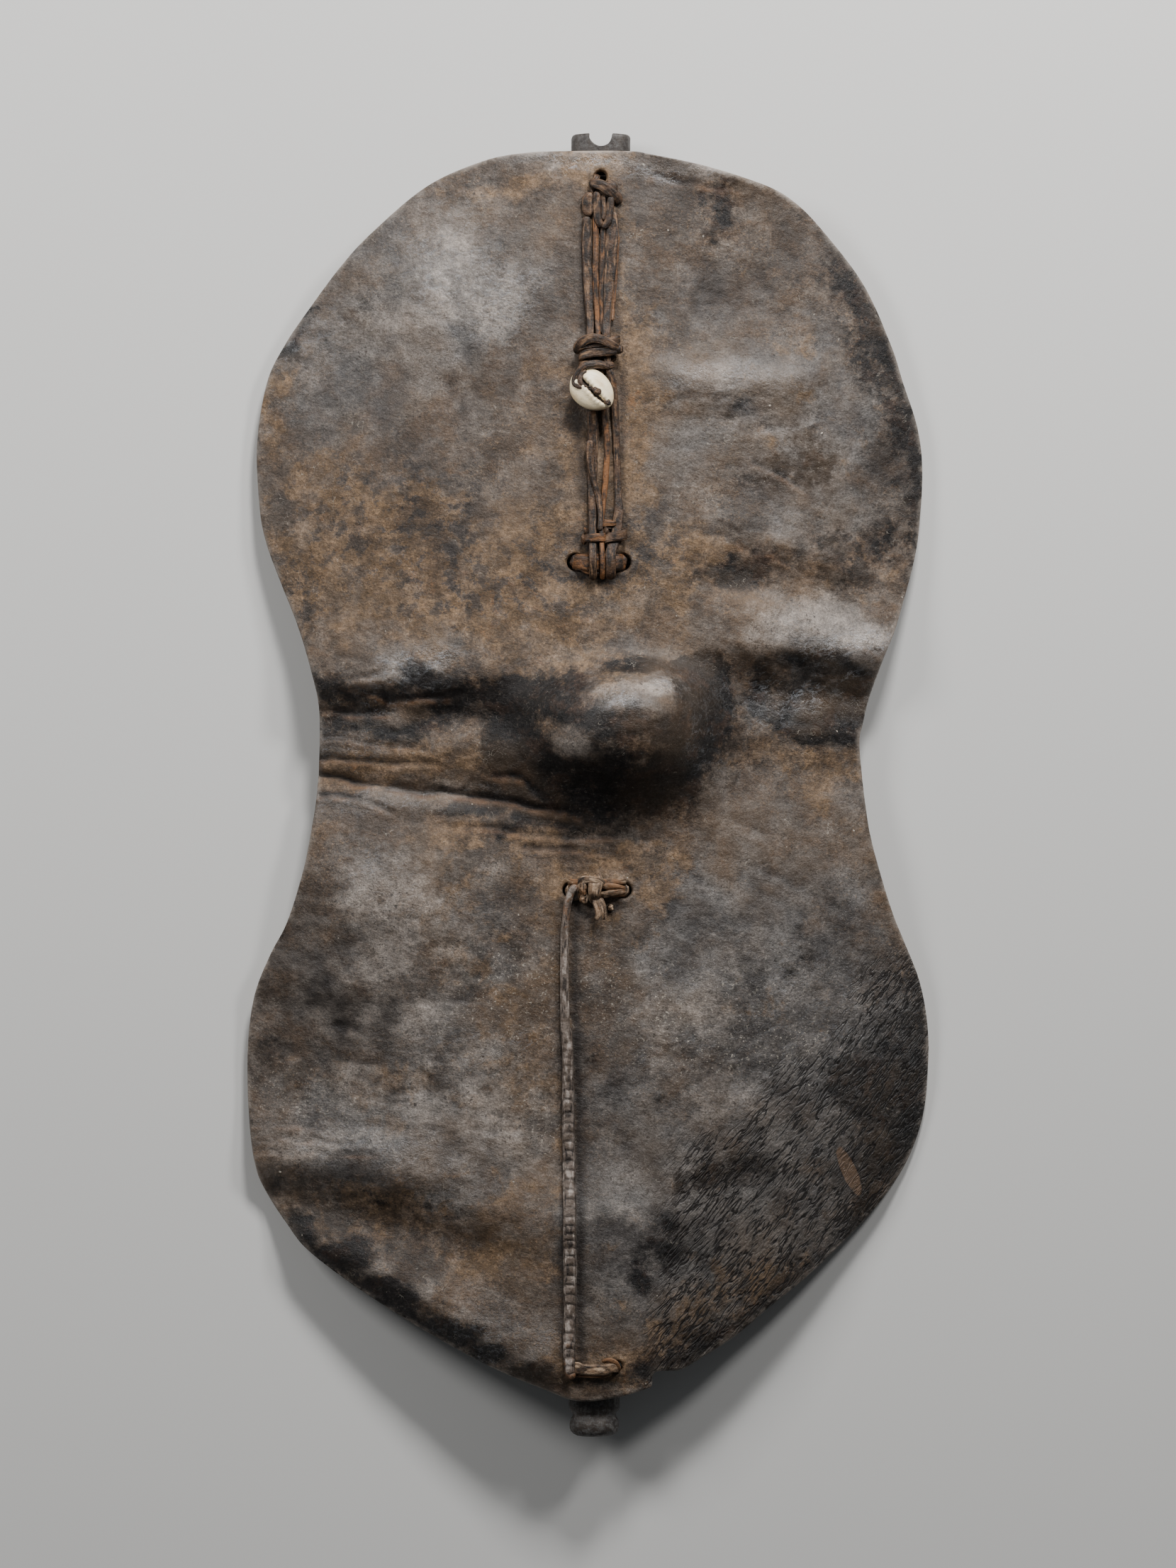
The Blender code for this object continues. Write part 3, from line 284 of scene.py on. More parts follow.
# Glossy patches: smoother there, with painted sheen laid over them in the colour.
GLOSS_AND_SHEEN_PATCHES = (
    (-3, 372, 52, 4, 0.9), (62, 367, 38, 4, 0.9), (48, 57, 13, 6, 1), (16, 47, 14, 6, 0.8),
    (164, 81, 29, 10, 1), (133, 51, 33, 17, 0.8), (-112, 66, 19, 10, 0.8), (-92, 68, 14, 8, 0.7),
    (-119, 47, 29, 11, 0.6), (-91, 313, 29, 29, 0.6), (-53, 287, 24, 21, 0.6), (-152, 16, 29, 10, 0.5),
    (-133, -20, 43, 8, 0.6), (-91, -11, 29, 5, 0.7), (-124, -70, 29, 27, 0.4), (85, 235, 38, 10, 0.5),
    (-129, -229, 57, 19, 0.5), (-72, -163, 43, 14, 0.4), (73, 13, 10, 19, 0.4), (119, -163, 76, 57, 0.35),
    (-53, -339, 38, 19, 0.4), (-176, 265, 24, 29, 0.5),
)
CRUST_PATCHES = (
    (62, -158, 33, 19, 1), (119, -163, 24, 14, 0.9), (81, -125, 43, 19, 0.5), (-15, -125, 43, 24, 0.6),
    (-167, -196, 43, 24, 0.4), (-53, -144, 43, 29, 0.4), (-29, -210, 24, 24, 0.5), (180, 89, 14, 10, 0.3),
)


def lattice(ix, iy, seed):
    """A repeatable value from 0 to 1 for each pair of whole numbers."""
    mixed = (ix * 374761393 + iy * 668265263 + seed * 974634777) & 0xFFFFFFFF
    mixed = ((mixed ^ (mixed >> 13)) * 1274126177) & 0xFFFFFFFF
    return ((mixed ^ (mixed >> 16)) & 0xFFFFFF) / 0xFFFFFF


def ripple(x, y, seed):
    """Smooth noise from -1 to 1 with features one unit across."""
    ix, iy = np.floor(x).astype(np.int64), np.floor(y).astype(np.int64)
    fx, fy = x - ix, y - iy
    fx, fy = fx * fx * (3 - 2 * fx), fy * fy * (3 - 2 * fy)
    low = lattice(ix, iy, seed) * (1 - fx) + lattice(ix + 1, iy, seed) * fx
    high = lattice(ix, iy + 1, seed) * (1 - fx) + lattice(ix + 1, iy + 1, seed) * fx
    return 2 * (low * (1 - fy) + high * fy) - 1


def cloud(x, y, size, seed, octaves=4):
    """Noise from about -1 to 1 in several sizes, the largest the given one."""
    total = 0.0
    weight = 0.0
    for i in range(octaves):
        share = 0.5**i
        turned_x = x * math.cos(i) + y * math.sin(i)
        turned_y = y * math.cos(i) - x * math.sin(i)
        total = total + share * ripple(turned_x / size * 2**i, turned_y / size * 2**i, seed + i)
        weight += share
    return total / weight * 1.6


def swell(x, y, place, power=1.0):
    """1 at the place's centre, falling away smoothly over its own reach on each side."""
    centre_x, centre_y, left, right, down, up = place
    u = (x - centre_x) / np.where(x > centre_x, right, left)
    v = (y - centre_y) / np.where(y > centre_y, up, down)
    return np.exp(-((u * u + v * v) ** power))


def fold(x, y, line):
    """1 along the line, falling away over its own reach above and below it and past its ends."""
    start_x, start_y, end_x, end_y, above, below = line
    length = math.hypot(end_x - start_x, end_y - start_y)
    run_x, run_y = (end_x - start_x) / length, (end_y - start_y) / length
    along = (x - start_x) * run_x + (y - start_y) * run_y
    across = (y - start_y) * run_x - (x - start_x) * run_y
    past = np.maximum(np.maximum(-along, along - length), 0.0)
    side = np.where(across > 0, above, below)
    return np.exp(-((across / side) ** 2) - (past / FOLD_FADE) ** 2)


def sheet_height(x, y):
    """Height of the hide's face on the drawing, without the boss."""
    u, v = 2 * x / HIDE_WIDTH, 2 * y / HIDE_LENGTH
    height = FACE_TOP - SIDE_BEND * u * u - END_BEND * v * v
    for *place, rise in SWELLS:
        height = height + rise * swell(x, y, place)
    for *line, rise in FOLDS:
        height = height + rise * fold(x, y, line)
    return height


def smooth_height(x, y):
    """Height of the face with its boss, as the solid has it."""
    boss = BOSS_HEIGHT * swell(x, y, BOSS, BOSS_STEEPNESS)
    return sheet_height(x, y) + boss + KNOB_ON_BOSS * swell(x, y, BOSS_KNOB)


# Wrinkled patches: centre, reach across and up, direction in degrees, length and width of one wrinkle, height
WRINKLES = (
    (-118, 8, 62, 44, -3, 34, 6, 0.75),
    (-80, -34, 60, 20, -3, 30, 5, 0.55),
    (20, -48, 70, 18, -1, 26, 5, 0.45),
    (135, 18, 52, 16, 0, 30, 3.6, 0.40),
    (150, 60, 34, 22, -6, 22, 5, 0.45),
    (-186, -222, 34, 15, 2, 24, 4, 0.80),
    (-120, -268, 90, 26, -3, 34, 5.5, 0.40),
    (-110, -330, 80, 22, -29, 26, 4.5, 0.50),
    (62, 305, 44, 46, -4, 18, 4.5, 0.45),
    (176, 240, 26, 56, -55, 15, 4, 0.45),
    (190, 165, 22, 46, -18, 18, 4.5, 0.45),
    (128, 150, 48, 44, -24, 20, 5.5, 0.60),
    (-172, -78, 24, 30, 35, 14, 4.5, 0.35),
    (-168, 262, 30, 60, 52, 20, 5, 0.40),
    (-60, -140, 90, 40, 3, 40, 8, 0.35),
    (28, -300, 26, 30, 62, 14, 4, 0.35),
    (-20, 352, 60, 18, 4, 22, 4.5, 0.30),
    (-120, -112, 90, 44, 4, 46, 15, 0.9),
    (-110, -185, 96, 44, -5, 40, 12, 1.0),
    (-60, -215, 60, 40, -12, 30, 10, 0.8),
    (-120, 268, 60, 60, -38, 46, 14, 1.1),
    (90, 230, 70, 60, 4, 44, 12, 1.2),
    (110, 120, 60, 40, -12, 40, 10, 1.2),
    (100, -60, 70, 60, -30, 44, 14, 1.0),
    (60, -170, 70, 60, 40, 40, 12, 1.0),
    (-110, 120, 70, 60, 10, 40, 12, 0.7),
    (-124, 50, 46, 24, 12, 24, 12, 2.6),
    (-140, 62, 30, 16, -8, 16, 8, 1.4),
    (136, 50, 40, 26, -10, 26, 14, 2.2),
    (120, 84, 60, 14, -14, 34, 8, 1.0),
    (30, 52, 44, 30, 20, 18, 9, 0.7),
)

# Creases: depth, width, then the places they run through
CREASES = (
    (0.9, 1.7, ((-164, 10.8), (-142, 8.9), (-116, 7.2), (-92, 5.5))),
    (1.5, 2.0, (
        (-164, 1.4), (-150.5, -0.6), (-142, -4.9), (-124.7, -7.5), (-90.3, -10.9), (-56, -14.3),
        (-17, -22.5))),
    (1.0, 1.7, ((-164, -10.5), (-159, -11.8), (-133.3, -16.1), (-118.3, -22.1))),
    (0.9, 2.2, ((-56, 1.2), (-38.7, -3.2), (-17.2, -20.4), (-6.5, -24.7))),
    (0.7, 1.7, ((-90, -31), (-56, -32.4), (-13, -36.7), (20, -37))),
    (0.6, 1.6, ((-39, -42.7), (-13, -44.9), (8.6, -46.2))),
    (0.7, 2.0, ((-164, 39.9), (-145, 37), (-124.7, 36.4))),
    (0.7, 1.7, ((-163, 22.6), (-133, 20.5), (-99, 15))),
    (0.9, 2.2, ((-142, 53), (-116, 46.3), (-90, 47))),
    (0.6, 1.6, ((40, 362), (73, 357.2), (92, 353.6))),
    (0.6, 1.4, ((100, 190), (118, 181), (131, 172))),
    (0.6, 1.6, ((92, 138), (112, 133), (134, 120))),
    (0.5, 1.4, ((150, 86), (166, 79), (176, 74))),
    (0.4, 1.4, ((-205, -214), (-180, -213), (-160, -216))),
    (0.6, 1.6, ((-203, -224), (-182, -221), (-150, -223))),
    (0.5, 1.4, ((-203, -230), (-176, -229), (-130, -229))),
)

# Painted shadows beside and under the thongs and knots: strength, width, distance to the line's left, then
# the line
THONG_SHADOWS = (
    (0.9, 3.1, 3.0, (
        (-9.6, -84.0), (-10.6, -103.4), (-10.2, -149), (-9.0, -166.6), (-7.2, -261), (-7.0, -347))),
    (0.3, 1.2, -0.6, (
        (-16.6, -84.0), (-17.6, -103.4), (-17.4, -149), (-16.4, -166.6), (-15.6, -261), (-15.4, -347))),
    (0.85, 5.0, 0.0, ((-7.0, 228), (-6.5, 214), (-5.0, 195), (-3.0, 176))),
    (0.6, 2.2, 0.0, ((21.4, 240), (20.2, 214), (20.6, 180), (22.0, 150))),
    (0.6, 2.0, 0.0, ((-4.0, 330), (-3.6, 300), (-3.4, 272))),
    (0.5, 1.8, 0.0, ((19.8, 330), (17.6, 300), (17.6, 272))),
    (0.7, 3.4, 0.0, ((-9.0, 122), (4.0, 118.5), (18.0, 121))),
    (0.85, 3.8, 0.0, ((-8.0, -81), (-2.0, -85), (3.0, -86), (16.0, -80))),
    (0.4, 2.4, 0.0, ((-4.0, -364.5), (6.0, -365.5), (15.0, -363))),
)

SCUFF_PLACE = (159.0, -241.0)
# The dry rim of the lower right: a point on it, and its direction
CRACKLE_RIM = (131.0, -280.0)
CRACKLE_RUN = (0.686, 0.727)
# Dents: centre, reach across and up, depth
DENTS = (
    (-83, 235, 4.0, 8.0, 1.3), (-76, 222, 2.4, 5.0, 0.8), (112, -60, 5.0, 2.4, 0.6),
    (-150, -152, 5.0, 3.0, 0.8),
)


def turned(x, y, degrees):
    """Places seen along and across a direction."""
    c, s = math.cos(math.radians(degrees)), math.sin(math.radians(degrees))
    return x * c + y * s, y * c - x * s


def ridges(x, y, seed, sharp=2.0):
    """Narrow grooves between broad rounded backs, from -1 in a groove to 0."""
    wander = 0.35 * ripple(x * 0.7, y * 0.7, seed + 7)
    first = 1 - np.abs(ripple(x, y + wander, seed))
    second = 1 - np.abs(ripple(x * 1.7 + 5.3, y * 1.7 + wander, seed + 3))
    return -(first**sharp) * 0.65 - (second**sharp) * 0.35 + 0.5


def line_distance(x, y, line):
    """Signed distance to a line of places, and how far past its ends."""
    best = np.full_like(x, 1e9)
    side = np.zeros_like(x)
    for (ax, ay), (bx, by) in zip(line, line[1:]):
        run_x, run_y = bx - ax, by - ay
        length = math.hypot(run_x, run_y)
        share = np.clip(((x - ax) * run_x + (y - ay) * run_y) / length**2, 0, 1)
        near = np.hypot(x - ax - share * run_x, y - ay - share * run_y)
        turn = (run_x * (y - ay) - run_y * (x - ax)) / length
        side = np.where(near < best, turn, side)
        best = np.minimum(best, near)
    return best, side


def crackle_share(x, y):
    """How strongly the dry lower right part of the hide is crackled."""
    from_rim = (x - CRACKLE_RIM[0]) * -CRACKLE_RUN[1] + (y - CRACKLE_RIM[1]) * CRACKLE_RUN[0]
    reach = 66 + 26 * cloud(x, y, 60, 401, 2)
    return ease(1.5 - from_rim / reach) * ease((x - 18) / 50) * ease((-82 - y) / 60)


def crackle(x, y):
    """Long torn grooves that run up to the right, and the flakes between them."""
    bend = 5.0 * ripple(x / 60, y / 60, 431)
    along = x * CRACKLE_RUN[0] + y * CRACKLE_RUN[1]
    across = y * CRACKLE_RUN[0] - x * CRACKLE_RUN[1] + bend
    coarse = ridges(along / 19, across / 3.9, 441, 3.0)
    fine = ridges(along / 12, across / 2.6, 457, 2.5)
    return 0.85 * coarse + 0.32 * fine


def fine_relief(x, y):
    """What the solid leaves out: undulation, wrinkles, creases and the crackle of the dry edge."""
    calm = 1 - 0.6 * np.exp(-(((x - 6) / 20) ** 2))
    relief = 0.85 * calm * cloud(x, y, 48, 11, 2) + 0.34 * calm * cloud(x, y, 15, 23, 3)
    relief = relief + 0.13 * cloud(x, y, 5.0, 31, 2)
    for number, (cx, cy, reach_x, reach_y, angle, length, width, height) in enumerate(WRINKLES):
        share = np.exp(-(((x - cx) / reach_x) ** 2 + ((y - cy) / reach_y) ** 2) ** 1.3)
        along, across = turned(x, y, angle)
        relief = relief + height * share * ridges(along / length, across / width, 101 + 13 * number)
    for number, (depth, width, line) in enumerate(CREASES):
        away = 1.6 * ripple(x / 11, y / 11, 301 + number)
        near, side = line_distance(x + 0.4 * away, y + away, line)
        fade = ease(1.1 - near / (5 * width))
        relief = relief - depth * np.exp(-((near / width) ** 2)) * fade
        relief = relief + 0.5 * depth * np.exp(-(((side + 2.1 * width) / (1.5 * width)) ** 2)) * fade
        relief = relief + 0.3 * depth * np.exp(-(((side - 2.4 * width) / (1.6 * width)) ** 2)) * fade
    for cx, cy, reach_x, reach_y, depth in DENTS:
        relief = relief - depth * np.exp(-(((x - cx) / reach_x) ** 2) - ((y - cy) / reach_y) ** 2)
    relief = relief + 0.17 * crackle_share(x, y) * crackle(x, y)
    for hole_x, hole_y, radius in hole_places():
        from_hole = np.hypot(x - hole_x, y - hole_y)
        relief = relief + 0.7 * np.exp(-(((from_hole - radius - 1.5) / 2.4) ** 2))
    return relief


def face_height(x, y):
    """Height of the face with all of its relief."""
    return smooth_height(x, y) + fine_relief(x, y)


def spline(before, start, end, after, share):
    """A point on the smooth curve that runs from start to end."""
    return 0.5 * (
        2 * start + (end - before) * share
        + (2 * before - 5 * start + 4 * end - after) * share**2
        + (3 * start - before - 3 * end + after) * share**3
    )


def smooth_curve(points, step, closed=False):
    """Points about a step apart on a smooth curve through the given ones."""
    points = [np.array(point, float) for point in points]
    if closed:
        padded = [points[-1], *points, points[0], points[1]]
    else:
        padded = [2 * points[0] - points[1], *points, 2 * points[-1] - points[-2]]
    curve = []
    for i in range(1, len(padded) - 2):
        before, start, end, after = padded[i - 1 : i + 3]
        count = max(1, round(float(np.linalg.norm(end - start)) / step))
        curve += [spline(before, start, end, after, j / count) for j in range(count)]
    return np.array(curve if closed else curve + [points[-1]])


def rim_loop():
    """The hide's outline, fitted to its exact width and length."""
    curve = smooth_curve(OUTLINE, RIM_STEP, closed=True)
    low, high = curve.min(0), curve.max(0)
    return ((curve - low) / (high - low) - 0.5) * np.array([HIDE_WIDTH, HIDE_LENGTH])


def inset(loop, distance):
    """A counterclockwise loop moved inwards by a distance."""
    run = np.roll(loop, -1, 0) - np.roll(loop, 1, 0)
    run /= np.linalg.norm(run, axis=1)[:, None]
    return loop + distance * np.stack([-run[:, 1], run[:, 0]], 1)


def inside(points, loop):
    """Which points lie inside a closed loop."""
    within = np.zeros(len(points), bool)
    x, y = points[:, 0], points[:, 1]
    for a, b in zip(loop, np.roll(loop, -1, 0)):
        if a[1] == b[1]:
            continue
        crosses = (a[1] > y) != (b[1] > y)
        within ^= crosses & (x < a[0] + (b[0] - a[0]) * (y - a[1]) / (b[1] - a[1]))
    return within


def ease(share):
    """A share from 0 to 1 that starts and ends gently."""
    share = np.clip(share, 0.0, 1.0)
    return share * share * (3 - 2 * share)


def stave_x(y):
    """The middle of the stave, which leans a little."""
    return AXIS_FOOT_X + (AXIS_TOP_X - AXIS_FOOT_X) * (y / HIDE_LENGTH + 0.5)


def stave_width(y):
    """The stave's width: wide at its fork and neck, with a shoulder below the grip."""
    grip = np.exp(-(((y - BOSS[1]) / 60) ** 4))
    shoulder = np.exp(-(((y - MID_Y) / 45) ** 2))
    width = STAVE_WIDTH + (GRIP_WIDTH - STAVE_WIDTH) * grip
    width = width + (FORK_WIDTH - STAVE_WIDTH) * ease((y - 340) / 38)
    width = width + (SHOULDER_WIDTH - STAVE_WIDTH) * shoulder
    return width + (NECK_WIDTH - STAVE_WIDTH) * ease((-363 - y) / 12)


def stave_top(y):
    """The crown of the stave under the hide."""
    held = np.clip(y, -HIDE_LENGTH / 2, HIDE_LENGTH / 2)
    drop = STAVE_DROP_AT_TOP * ease((y - 290) / 55)
    return sheet_height(stave_x(y), held) - HIDE_THICKNESS - STAVE_GAP - drop


def stave_middle(y):
    """The height of the stave's axis."""
    return stave_top(y) - STAVE_THICKNESS / 2


def hole_places():
    """The holes in the skin, drawn tight round the thongs in them: centre and radius."""
    places = [(stave_x(TOP_HOLE_Y), TOP_HOLE_Y, TOP_HOLE_RADIUS)]
    for y, width, thickness in (
        (SLOT_Y, SLOT_ROLL_WIDTH, SLOT_ROLL_THICKNESS), (MID_Y, MID_BAND_WIDTH, MID_BAND_THICKNESS),
        (FOOT_Y, FOOT_BAND_WIDTH, FOOT_BAND_THICKNESS),
    ):
        reach = stave_width(y) / 2 + HOLE_CLEARANCE + thickness / 2
        places += [(stave_x(y) + side, y, width / 2 - HOLE_SQUEEZE) for side in (-reach, reach)]
    return places


def new_object(name, data):
    """An object in the scene for a mesh, a camera or a light."""
    made = bpy.data.objects.new(name, data)
    bpy.context.scene.collection.objects.link(made)
    return made


def mesh_object(name, points, faces, finish, smooth=True):
    """An object from points in millimetres on the drawing."""
    placed = np.array(points, float) + np.array([0.0, HIDE_CENTRE_Y, -FLOOR])
    mesh = bpy.data.meshes.new(name)
    mesh.from_pydata((placed * MM).tolist(), [], [list(map(int, face)) for face in faces])
    if smooth:
        mesh.shade_smooth()
    mesh.materials.append(finish)
    return new_object(name, mesh)


def give(piece, node):
    """The piece rides with the shield and stands for its solid."""
    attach(piece, "root")
    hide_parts(node)


def add_layer(made, name, values):
    """Values at the vertices for a material to read."""
    layer = made.data.attributes.new(name, "FLOAT", "POINT")
    layer.data.foreach_set("value", np.asarray(values, np.float32))


# The rim's section: distance in from the outline, and depth under the face
RIM_PROFILE = ((1.3, 0.0), (0.45, 0.45), (0.05, 1.5), (0.0, 2.6), (0.15, 3.9), (0.6, 4.7), (1.4, 5.0))


def surface_normal(x, y):
    """The smooth face's normals."""
    d = 0.5
    slope_x = (smooth_height(x + d, y) - smooth_height(x - d, y)) / (2 * d)
    slope_y = (smooth_height(x, y + d) - smooth_height(x, y - d)) / (2 * d)
    normal = np.stack([-slope_x, -slope_y, np.ones_like(slope_x)], 1)
    return normal / np.linalg.norm(normal, axis=1)[:, None]


def filled(loops, step):
    """Triangles that fill the first loop but for the others, and all their points."""
    outer = loops[0]
    low, high = outer.min(0), outer.max(0)
    rows = np.arange(low[1], high[1], step * math.sqrt(0.75))
    grid = np.array([
        (x, y) for i, y in enumerate(rows) for x in np.arange(low[0] + (step / 2) * (i % 2), high[0], step)
    ])
    grid = grid[inside(grid, inset(outer, step * 0.45))]
    for ring in loops[1:]:
        centre = ring.mean(0)
        radius = np.linalg.norm(ring - centre, axis=1).max() + step * 0.45
        grid = grid[np.linalg.norm(grid - centre, axis=1) > radius]
    points = np.concatenate([*loops, grid])
    edges, first = [], 0
    for ring in loops:
        edges += [(first + i, first + (i + 1) % len(ring)) for i in range(len(ring))]
        first += len(ring)
    found = delaunay_2d_cdt([Vector(point) for point in points.tolist()], edges, [], 1, 1e-6)
    sources = [group[0] for group in found[3]]
    triangles = np.array([[sources[i] for i in face] for face in found[2]])
    middles = points[triangles].mean(1)
    in_hole = np.any([inside(middles, ring) for ring in loops[1:]], 0)
    return points, triangles[inside(middles, outer) & ~in_hole]


def hide_body():
    """Points and faces of the whole hide: its face, its rounded rims and its back."""
    rims = [rim_loop()]
    for x, y, radius in hole_places():
        angles = -np.arange(32) * math.tau / 32
        rims.append(np.stack([x + radius * np.cos(angles), y + radius * np.sin(angles)], 1))
    face_loops = [inset(loop, RIM_PROFILE[0][0]) for loop in rims]
    back_loops = [inset(loop, RIM_PROFILE[-1][0]) for loop in rims]
    face, face_triangles = filled(face_loops, FACE_STEP)
    back, back_triangles = filled(back_loops, BACK_STEP)
    face_points = np.column_stack([face, face_height(face[:, 0], face[:, 1])])
    back_points = np.column_stack([back, smooth_height(back[:, 0], back[:, 1])])
    back_points -= HIDE_THICKNESS * surface_normal(back[:, 0], back[:, 1])
    points = [face_points, back_points]
    faces = [*face_triangles.tolist(), *(back_triangles[:, ::-1] + len(face_points)).tolist()]
    total = len(face_points) + len(back_points)
    face_first, back_first = 0, len(face_points)
    for loop in rims:
        count = len(loop)
        previous = face_first
        for distance, depth in RIM_PROFILE[1:-1]:
            ring = inset(loop, distance)
            wear = 0.35 * cloud(ring[:, 0], ring[:, 1], 14, 71, 3)
            top = smooth_height(ring[:, 0], ring[:, 1])
            normal = surface_normal(ring[:, 0], ring[:, 1])
            points.append(np.column_stack([ring, top]) - (depth + wear[:, None] * 0.5) * normal)
            faces += band(total, previous, count)
            previous = total
            total += count
        faces += band(back_first, previous, count)
        face_first += count
        back_first += count
    return np.concatenate(points), faces


def band(near, far, count):
    """Faces between two loops of as many points."""
    return [(near + i, near + (i + 1) % count, far + (i + 1) % count, far + i) for i in range(count)]


# Camera, in metres, and the level that is shown at the photo's scale
CAMERA_HEIGHT = 3.2
FACE_LEVEL = 0.03
SENSOR_HEIGHT = 36.0


def simple_material(name, colour, roughness):
    """An even paint, for the floor alone."""
    made = bpy.data.materials.new(name)
    made.use_nodes = True
    shader = made.node_tree.nodes["Principled BSDF"]
    shader.inputs["Base Color"].default_value = (*colour, 1)
    shader.inputs["Roughness"].default_value = roughness
    return made


def build_stage():
    """A plain pale floor, the camera straight above it, and three soft lights."""
    scene = bpy.context.scene
    mesh = bpy.data.meshes.new("floor")
    reach = 6.0
    corners = [(-reach, -reach, 0), (reach, -reach, 0), (reach, reach, 0), (-reach, reach, 0)]
    mesh.from_pydata(corners, [], [(0, 1, 2, 3)])
    mesh.materials.append(simple_material("floor_paint", (0.62, 0.61, 0.59), 0.9))
    new_object("floor", mesh)
    camera_data = bpy.data.cameras.new("camera")
    camera = new_object("camera", camera_data)
    camera.location = (0.0, 0.0, CAMERA_HEIGHT)
    camera_data.sensor_fit = "VERTICAL"
    camera_data.sensor_height = SENSOR_HEIGHT
    camera_data.lens = SENSOR_HEIGHT * (CAMERA_HEIGHT - FACE_LEVEL) / (PHOTO_HEIGHT * MM_PER_PIXEL * MM)
    scene.camera = camera
    world = bpy.data.worlds.new("studio")
    world.use_nodes = True
    sky = world.node_tree.nodes["Background"]
    sky.inputs["Color"].default_value = (0.9, 0.95, 1.0, 1.0)
    sky.inputs["Strength"].default_value = 0.085
    scene.world = world
    for name, place, target, size, power in (
        ("key", (-1.15, 0.85, 1.15), (0.0, 0.05, 0.0), (0.6, 0.6), 17.0),
        ("side", (1.0, 1.15, 1.10), (0.05, 0.05, 0.0), (0.30, 0.30), 17.0),
        ("top", (0.30, 1.65, 1.05), (0.0, 0.05, 0.0), (0.34, 0.30), 43.0),
    ):
        light_data = bpy.data.lights.new(name, "AREA")
        light_data.shape = "RECTANGLE"
        light_data.size, light_data.size_y = size
        light_data.energy = power
        light = new_object(name, light_data)
        light.location = place
        light.rotation_euler = (Vector(target) - Vector(place)).to_track_quat("-Z", "Y").to_euler()


def patch_share(x, y, patches, seed, roughness=0.22):
    """How much of a colour lies at each place: soft patches with wandering edges."""
    moved_x = x + 7 * cloud(x, y, 34, seed, 3)
    moved_y = y + 7 * cloud(x, y, 34, seed + 5, 3)
    clear = 1.0
    for cx, cy, reach_x, reach_y, strength in patches:
        u, v = (moved_x - cx) / (1.15 * reach_x), (moved_y - cy) / (1.15 * reach_y)
        clear = clear * (1 - strength * np.exp(-((u * u + v * v) ** 1.25)))
    share = 1 - clear
    return np.clip(share + roughness * share * (1 - share) * 4 * cloud(x, y, 20, seed + 9, 3), 0, 1)


def rim_share(points, reach, stride=3):
    """1 at the hide's rim, falling to 0 inside it."""
    loop = rim_loop()[::stride]
    near = np.full(len(points), 1e9)
    for start in range(0, len(points), 4000):
        part = points[start : start + 4000, None, :] - loop[None]
        near[start : start + 4000] = np.sqrt((part**2).sum(2)).min(1)
    return np.exp(-((near / reach) ** 1.5))


def paint_hide(hide, points):
    """The patina's layers, with the painted highlights, sheen and shade, as values on the hide's vertices."""
    x, y = points[:, 0], points[:, 1]
    # Painted shade: darker along the whole rim and towards the lower right, where the hide bends away from
    # the light
    rim = rim_share(points[:, :2], 9.0)
    lower_right_shade = ease((x - 10) / 90) * ease((-110 - y) / 120) * rim_share(points[:, :2], 60)
    relief = fine_relief(x, y)
    layers = {
        "dark": patch_share(x, y, DARK_PATCHES, 501) + 0.35 * rim + 0.25 * lower_right_shade,
        "pale": patch_share(x, y, PALE_AND_HIGHLIGHT_PATCHES, 541),
        "ochre": patch_share(x, y, OCHRE_PATCHES, 577),
        "cool": patch_share(x, y, COOL_PATCHES, 561),
        "gloss": patch_share(x, y, GLOSS_AND_SHEEN_PATCHES, 571),
        "shade": painted_thong_shadow(x, y),
        "edge": crease_edges(x, y),
        "chips": patch_share(x, y, CHIP_PATCHES, 601, 0.1),
        "crust": patch_share(x, y, CRUST_PATCHES, 631, 0.1),
        "crackled": crackle_share(x, y),
        "scuff": np.exp(-(np.hypot((x - SCUFF_PLACE[0] + 0.42 * (y - SCUFF_PLACE[1])) / 5.4,
                                   (y - SCUFF_PLACE[1]) / 16.5) ** 3)),
        # painted highlight along the rim's edge
        "wear": rim_share(points[:, :2], 1.7, 1),
        # painted shade in the hollows of the fine relief, and painted highlight on its crests
        "groove": np.clip(-relief / 1.6, 0, 1),
        "crest": np.clip(relief / 1.6, 0, 1),
    }
    for name, values in layers.items():
        add_layer(hide, name, values)


def painted_thong_shadow(x, y):
    """Painted shadow along the sides of the thongs and under their knots, deepest to the right of the long
    one.
    """
    share = np.zeros_like(x)
    for strength, width, offset, line in THONG_SHADOWS:
        near, side = line_distance(x, y, line)
        width = width * (1 + 0.3 * cloud(x * 0.4, y, 18, 671, 3))
        fade = ease(1.5 - (near - abs(offset)) / (3 * width))
        share = np.maximum(share, strength * np.exp(-np.abs((side - offset) / width) ** 1.6) * fade)
    return np.clip(share, 0, 1)


def crease_edges(x, y):
    """The rubbed orange lips along the lower side of the creases."""
    share = np.zeros_like(x)
    for number, (depth, width, line) in enumerate(CREASES):
        away = 1.6 * ripple(x / 11, y / 11, 301 + number)
        near, side = line_distance(x + 0.4 * away, y + away, line)
        lip = np.exp(-(((side + 1.25 * width) / (0.75 * width)) ** 2)) * ease(1.2 - near / (4 * width))
        share = np.maximum(share, min(depth, 1.0) * lip)
    return np.clip(share * (0.6 + 1.2 * cloud(x, y, 9, 655, 3)), 0, 1)


